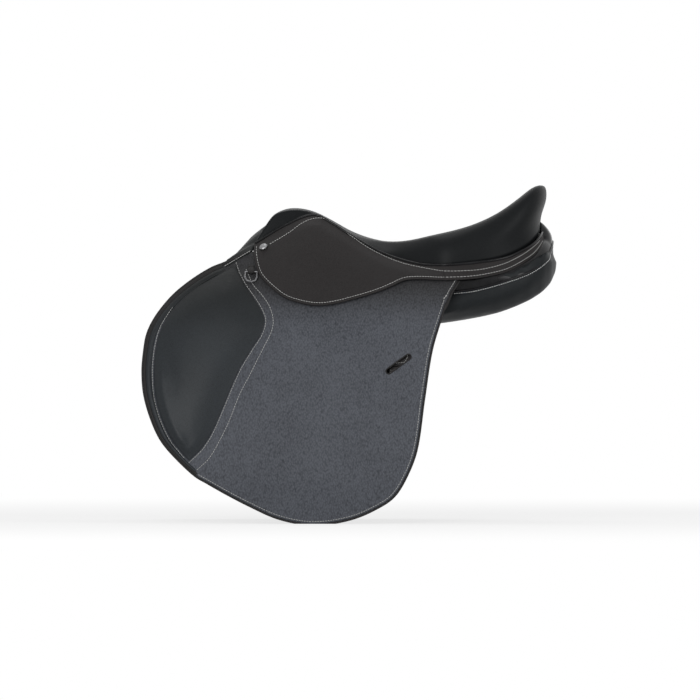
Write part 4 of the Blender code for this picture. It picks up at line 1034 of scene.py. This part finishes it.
# Under the flaps
under = {
    "sweat": [(132, 52), (124, 11), (110, -37), (100, -107), (88, -172), (66, -222), (24, -246), (-36, -256),
              (-100, -250), (-165, -226), (-215, -190), (-250, -145), (-268, -95), (-266, -40), (-244, 10),
              (-206, 44), (-172, 60), (-140, 62), (-90, 62), (0, 62), (80, 57), (120, 55)],
    "roll": [(-150, 36), (-138, 8), (-150, -30), (-172, -72), (-192, -118), (-212, -150), (-232, -148),
             (-244, -112), (-248, -70), (-244, -30), (-228, 4), (-196, 32)],
    "guard": [(-34, 14), (-34, -44), (-24, -58), (80, -58), (90, -44), (90, 14), (84, 20), (-28, 20)],
    "sweatWall": 3.0, "rollWall": 2.0, "rollOut": 4.0, "rollRise": 5.0, "guardWall": 2.0, "guardOut": 12.1,
}
strapForm = {
    "stations": {"front": -14.0, "middle": 28.0, "rear": 70.0}, "wall": 3.4, "half": 12.5,
    "top": 52.0, "low": -202.0, "out": 6.5, "flat": 102.0,      # it hangs flat up to this far above its low end
    "hole": 2.4, "firstHole": 26.0, "holePitch": 21.0,
}


def makeUnderFlaps():
    outline, wall = closedSmooth(under["sweat"], 6.0), under["sweatWall"]
    sheet = wrap(cutLeather("sweatFlap", outline, wall, 9.0), standing(0))
    dressPair(sheet, "sweatFlap", "plain", "saddle", ["sweat_flap_{}"])
    sew("sweatStitch", grown(outline, -5)[:-30], standing(0), wall + 0.1, "saddle")

    outline = closedSmooth(under["roll"], 5.0)
    roll = cutLeather("kneeRoll", outline, under["rollWall"], edge=0.6, rim=1)
    co = points(roll)
    inside = distanceTo(outline, co[:, [0, 2]])
    top = -co[:, 1] > under["rollWall"] * 0.9
    co[top, 1] -= (under["rollRise"] * dome(inside / 26))[top]
    setPoints(roll, co)
    wrap(roll, standing(under["rollOut"]))
    puff(roll, 1.2, 2.0, 8, ~top | (inside < 4))
    dressPair(roll, "kneeRoll", "panel", "saddle", ["knee_roll_{}"])

    outline, wall = closedSmooth(under["guard"], 4.0), under["guardWall"]
    sheet = wrap(cutLeather("buckleGuard", outline, wall, 8.0), standing(under["guardOut"]))
    dressPair(sheet, "buckleGuard", "plain", "saddle", ["buckle_guard_{}"])
    sew("guardStitch", grown(outline, -4.5), standing(under["guardOut"]), wall + 0.1, "saddle")


def hangStrap(piece, x):
    # Round the side where it lies against the saddle, and flat where it hangs free.
    co = points(piece)
    s, z, out = co[:, 0], co[:, 2], strapForm["out"] - co[:, 1]
    flat = smooth((strapForm["low"] + strapForm["flat"] - z) / 40)[:, None]
    level = np.stack([s, sidePoint(np.full_like(z, x), z)[:, 1] + out, z], axis=1)
    setPoints(piece, mix(sidePoint(s, z, out), level, flat) * toNear * mm)
    return piece


def makeStraps():
    half, top, low, radius = (strapForm[key] for key in ("half", "top", "low", "hole"))
    for word, x in strapForm["stations"].items():
        name, body = "girthStrap" + word.capitalize(), "{}_%s_strap" % word
        side = [(x + half, z) for z in np.arange(top, low + 10, -6)]
        tip = [(x + half, low + 12), (x + half * 0.78, low + 5), (x + half * 0.4, low + 1), (x, low + 0.4)]
        outline = side + tip + [(2 * x - a, b) for a, b in (side + tip)[-2::-1]]
        turns = np.linspace(0, 2 * math.pi, 12, endpoint=False)
        middles = low + strapForm["firstHole"] + np.arange(9) * strapForm["holePitch"]
        holes = [np.stack([x + radius * np.cos(turns), z + radius * np.sin(turns)], axis=1) for z in middles]
        strap = cutLeather("girthStrap", outline, strapForm["wall"], 8.0, holes=holes, edge=0.8, ring=0.8, rim=2)
        dressPair(hangStrap(strap, x), name, "strap", body, ["girth_strap_%s_{}" % word])
        level = np.arange(top - 4, low + 14, -6)
        for mark, aside in (("A", half - 3), ("B", 3 - half)):
            line = np.stack([np.full(len(level), x + aside), np.full(len(level), -3.5), level], axis=1)
            stitch = hangStrap(threads("strapStitch", line, pitch=4.2, length=3.0, radius=0.38), x)
            dressPair(stitch, name + "Stitch" + mark, "thread", body)


# Panels, the strips round them and the lining between them
panelForm = {
    "voxel": 5.0, "shrink": 1.2, "swell": 3.0,
    "top": [(160, 62), (200, 67), (226, 65), (256, 79), (277, 96), (304, 104)],
    "rise": [(195, 0), (212, 7), (226, 11), (256, 10), (277, 8), (304, 6)],
    "back": [(28, 27), (42, 21), (56, 13), (70, 6), (85, 0)],   # rise of its back end, by distance from the middle
}
facing = {
    "wall": 2.0, "bulge": 2.6, "start": 0.05, "turn": 0.78, "free": 0.74, "stand": 15.5,
    "probe": 60.0, "piping": 1.5, "pipingEnd": 0.93, "stitchDrop": 3.4,
    "seam": [(0, 50), (0.097, 52.7), (0.154, 55.2), (0.323, 67.8), (0.472, 80.6), (0.616, 99.2), (0.75, 114),
             (0.88, 123), (1, 126)],
}


def makePanels():
    panel = softBlock("panel_left", "panel", panelForm["voxel"], panelForm["shrink"])
    puff(panel, panelForm["swell"], 3.0, 12)
    co = points(smoother(panel)) / mm
    x, level = co[:, 0], co[:, 2]
    along = np.maximum(spline(panelForm["rise"], np.clip(x, 195, 304)), 0)
    back = smooth((x - 255) / 35) * np.maximum(spline(panelForm["back"], np.clip(-co[:, 1], 28, 85)), 0)
    share = smooth((level - spline(panelForm["top"], np.clip(x, 160, 304)) + 24) / 20)
    co[:, 2] += share * np.maximum(along, back)
    co[:, 0] += 5.0 * smooth((x - 235) / 60) - 5.5 * smooth((level - 92) / 14) * smooth((x - 285) / 15)
    setPoints(panel, co * mm)
    skin = BVHTree.FromObject(panel, bpy.context.evaluated_depsgraph_get())
    dressPair(panel, "panel", "panel", "saddle", ["panel_{}"])
    makeFacing(skin)
    lining = cadCopy("channel_lining", "channelLining")
    dress(lining, "plain", "saddle", ["channel_lining"])


def skinHit(skin, spot, out):
    # Where the panel's skin is met from outside near this place, its normal there, and how far out that is.
    start = (spot + out * facing["probe"]) * toNear * mm
    met, normal, _, far = skin.ray_cast(Vector(start), Vector(-out * toNear))
    if met is None or far > 0.09:
        return None, None, np.nan
    return met, normal, facing["probe"] - far / mm


def makeFacing(skin):
    # The glossy strip over the top of the rear panels: behind the skirt, then outside it round the cantle.
    turns = np.linspace(facing["start"], 1, 81)
    s = rearStation(turns)
    x = xOf(s)
    low = spline(facing["seam"], turns)
    base = sideBase(s, low)
    way = unit(sideNormal(s, low) * [1, 1, 0])
    way[-1] = [1, 0, 0]
    reach = np.array([skinHit(skin, spot, out)[2] for spot, out in zip(base, way)])
    known = ~np.isnan(reach)
    reach = np.minimum(np.interp(turns, turns[known], reach[known]), facing["stand"])
    reach = mix(reach, facing["stand"], smooth((turns - facing["free"]) / 0.24))
    for _ in range(60):
        reach[1:-1] = (reach[:-2] + 2 * reach[1:-1] + reach[2:]) / 4
    rise = smooth((turns - facing["turn"]) / 0.12)
    high = mix(skirtLow(x) + 8, weltZ(x) + 13.5, rise)
    head = mix(-0.2, 1.6, rise)
    steps = np.arange(len(turns))
    rows = np.stack([s, high, low, head, reach, rise, *way.T], axis=1)

    def place(u, v):
        station, top, bottom, a, b, lifted, *out = straight((1 - np.abs(2 * u - 1)) * steps[-1], steps, rows).T
        stand = mix(mix(a, b, v), a + (b - a) * dome(v) ** 0.8, lifted)
        stand = stand + facing["bulge"] * np.sin(math.pi * v) * (1 - 0.6 * lifted)
        stand = np.minimum(stand, mix(1.0 + 30 * smooth((v - 0.30) / 0.3), 30, lifted))
        spots = sideBase(station, mix(top, bottom, v)) + unit(np.stack(out, axis=1)) * stand[:, None]
        return np.where((u < 0.5)[:, None], spots * toNear, spots)

    strip = spread("rearFacing", 200, 16, place, sharp=180)
    thicken(strip, facing["wall"])
    dress(strip, "piping", "saddle", ["rear_facing"])
    seam = (base + way * (reach + 0.6)[:, None]) * toNear
    cord = roundCord("panelPiping", evenly(seam[turns < facing["pipingEnd"]], 4.0), facing["piping"])
    dressPair(cord, "panelPiping", "piping", "saddle")
    dots = []
    for spot, out in zip(base - [0, 0, facing["stitchDrop"]], way):
        met, normal, _ = skinHit(skin, spot, out)
        if met is not None:
            dots.append(np.array(met + normal * 0.3 * mm) / mm)
    line = threads("panelStitch", dots, pitch=3.6, length=2.6)
    setPoints(line, points(line) * mm)
    dressPair(line, "panelStitch", "whiteThread", "saddle")


headCover = {
    "wall": 2.0,
    "fore": [(-147, 0, 130), (-155, 26, 121), (-166, 48, 109), (-177, 64, 98)],
    "lap": 0.5,                      # clear of the flap's face where it laps over it
}


def makeHeadCover():
    t = np.linspace(0, 1, 13)
    rows = []
    for spot, fore in zip(seatEdge(), headCover["fore"]):
        back, fore = np.array(spot[:3]) * [1, 0.95, 1] + [4, 0, -2.4], np.array(fore, float)
        over = (back + fore) / 2 + [-3, 0, 3]
        share = t[:, None]
        rows.append((1 - share) ** 2 * back + 2 * share * (1 - share) * over + share * share * fore)
    rows.append(sidePoint(mix(-138, -183, t), mix(121, 96, t) + 2 * np.sin(math.pi * t), mix(-1.0, 3, t)))
    over = smooth((t - 0.06) / 0.16)
    x = mix(-138, -185, t)
    z = mix(119, 91.5, t)
    rows.append(sidePoint(x, z, mix(-1.5, flapOut(x, z) + 1.0, over)))
    z = mix(115, 87, t)
    rows.append(sidePoint(x, z, mix(-2.0, flapOut(x, z) + flap["wall"] + headCover["lap"], over)))
    grid = np.array([row * toNear for row in rows[:0:-1]] + rows)

    def place(u, v):
        across = np.arange(len(grid))
        down = np.stack([curved(v * across[-1], across, grid[:, c]) for c in range(len(t))])
        column = np.clip(u * (len(t) - 1), 0, len(t) - 1.001)
        first, each = column.astype(int), np.arange(len(u))
        return mix(down[first, each], down[first + 1, each], (column - first)[:, None])

    cover = spread("headCover", 30, 90, place, sharp=180)
    thicken(cover, headCover["wall"], side=0)
    dress(cover, "cover", "saddle", ["head_cover"])
    lift = headCover["lap"] + headCover["wall"] * 0.5 + flap["wall"] + stitching["lift"]
    line = np.stack([x, np.full(len(x), -lift), z + 2.4], axis=1)[3:]
    stitch = wrap(threads("headStitch", line[::-1]), flapOut)
    dressPair(stitch, "headStitch", "thread", "saddle")


def makeSmallLeather():
    for node, name in (("girth_web_front", "girthWebFront"), ("girth_web_rear", "girthWebRear")):
        dress(cadCopy(node, name), "web", "saddle", [node])
    dressPair(cadCopy("seat_web_left", "seatWeb"), "seatWeb", "web", "saddle", ["seat_web_{}"])
    loop = cadCopy("dee_chape_left", "deeLoop")
    dressPair(loop, "deeLoop", "plain", "saddle", ["dee_chape_{}"])


def finishFrame():
    # Finishes of the frame's own solids that stay in sight.
    looks = {"tree": "wood", "gullet_plate": "steel", "stirrup_bar": "steel", "bar_catch": "steel",
             "gullet_rivet": "steel", "bar_rivet": "steel", "stud": "plated", "dee_left": "dull",
             "dee_right": "dull"}
    for name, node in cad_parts.items():
        for start, key in looks.items():
            if name.startswith(start):
                for holder in node.material_slots:
                    holder.material = finishes[key]


makeStudio()
finishes = makeFinishes()
print("finishes ready")
makeSeat()
makeWelt()
print("seat done")
makeSkirts()
print("skirts done")
makeFlaps()
makeKneePads()
print("flaps and knee pads done")
makeUnderFlaps()
makeStraps()
print("sweat flaps and girth straps done")
makePanels()
makeHeadCover()
makeSmallLeather()
print("panels and small leather done")
finishFrame()
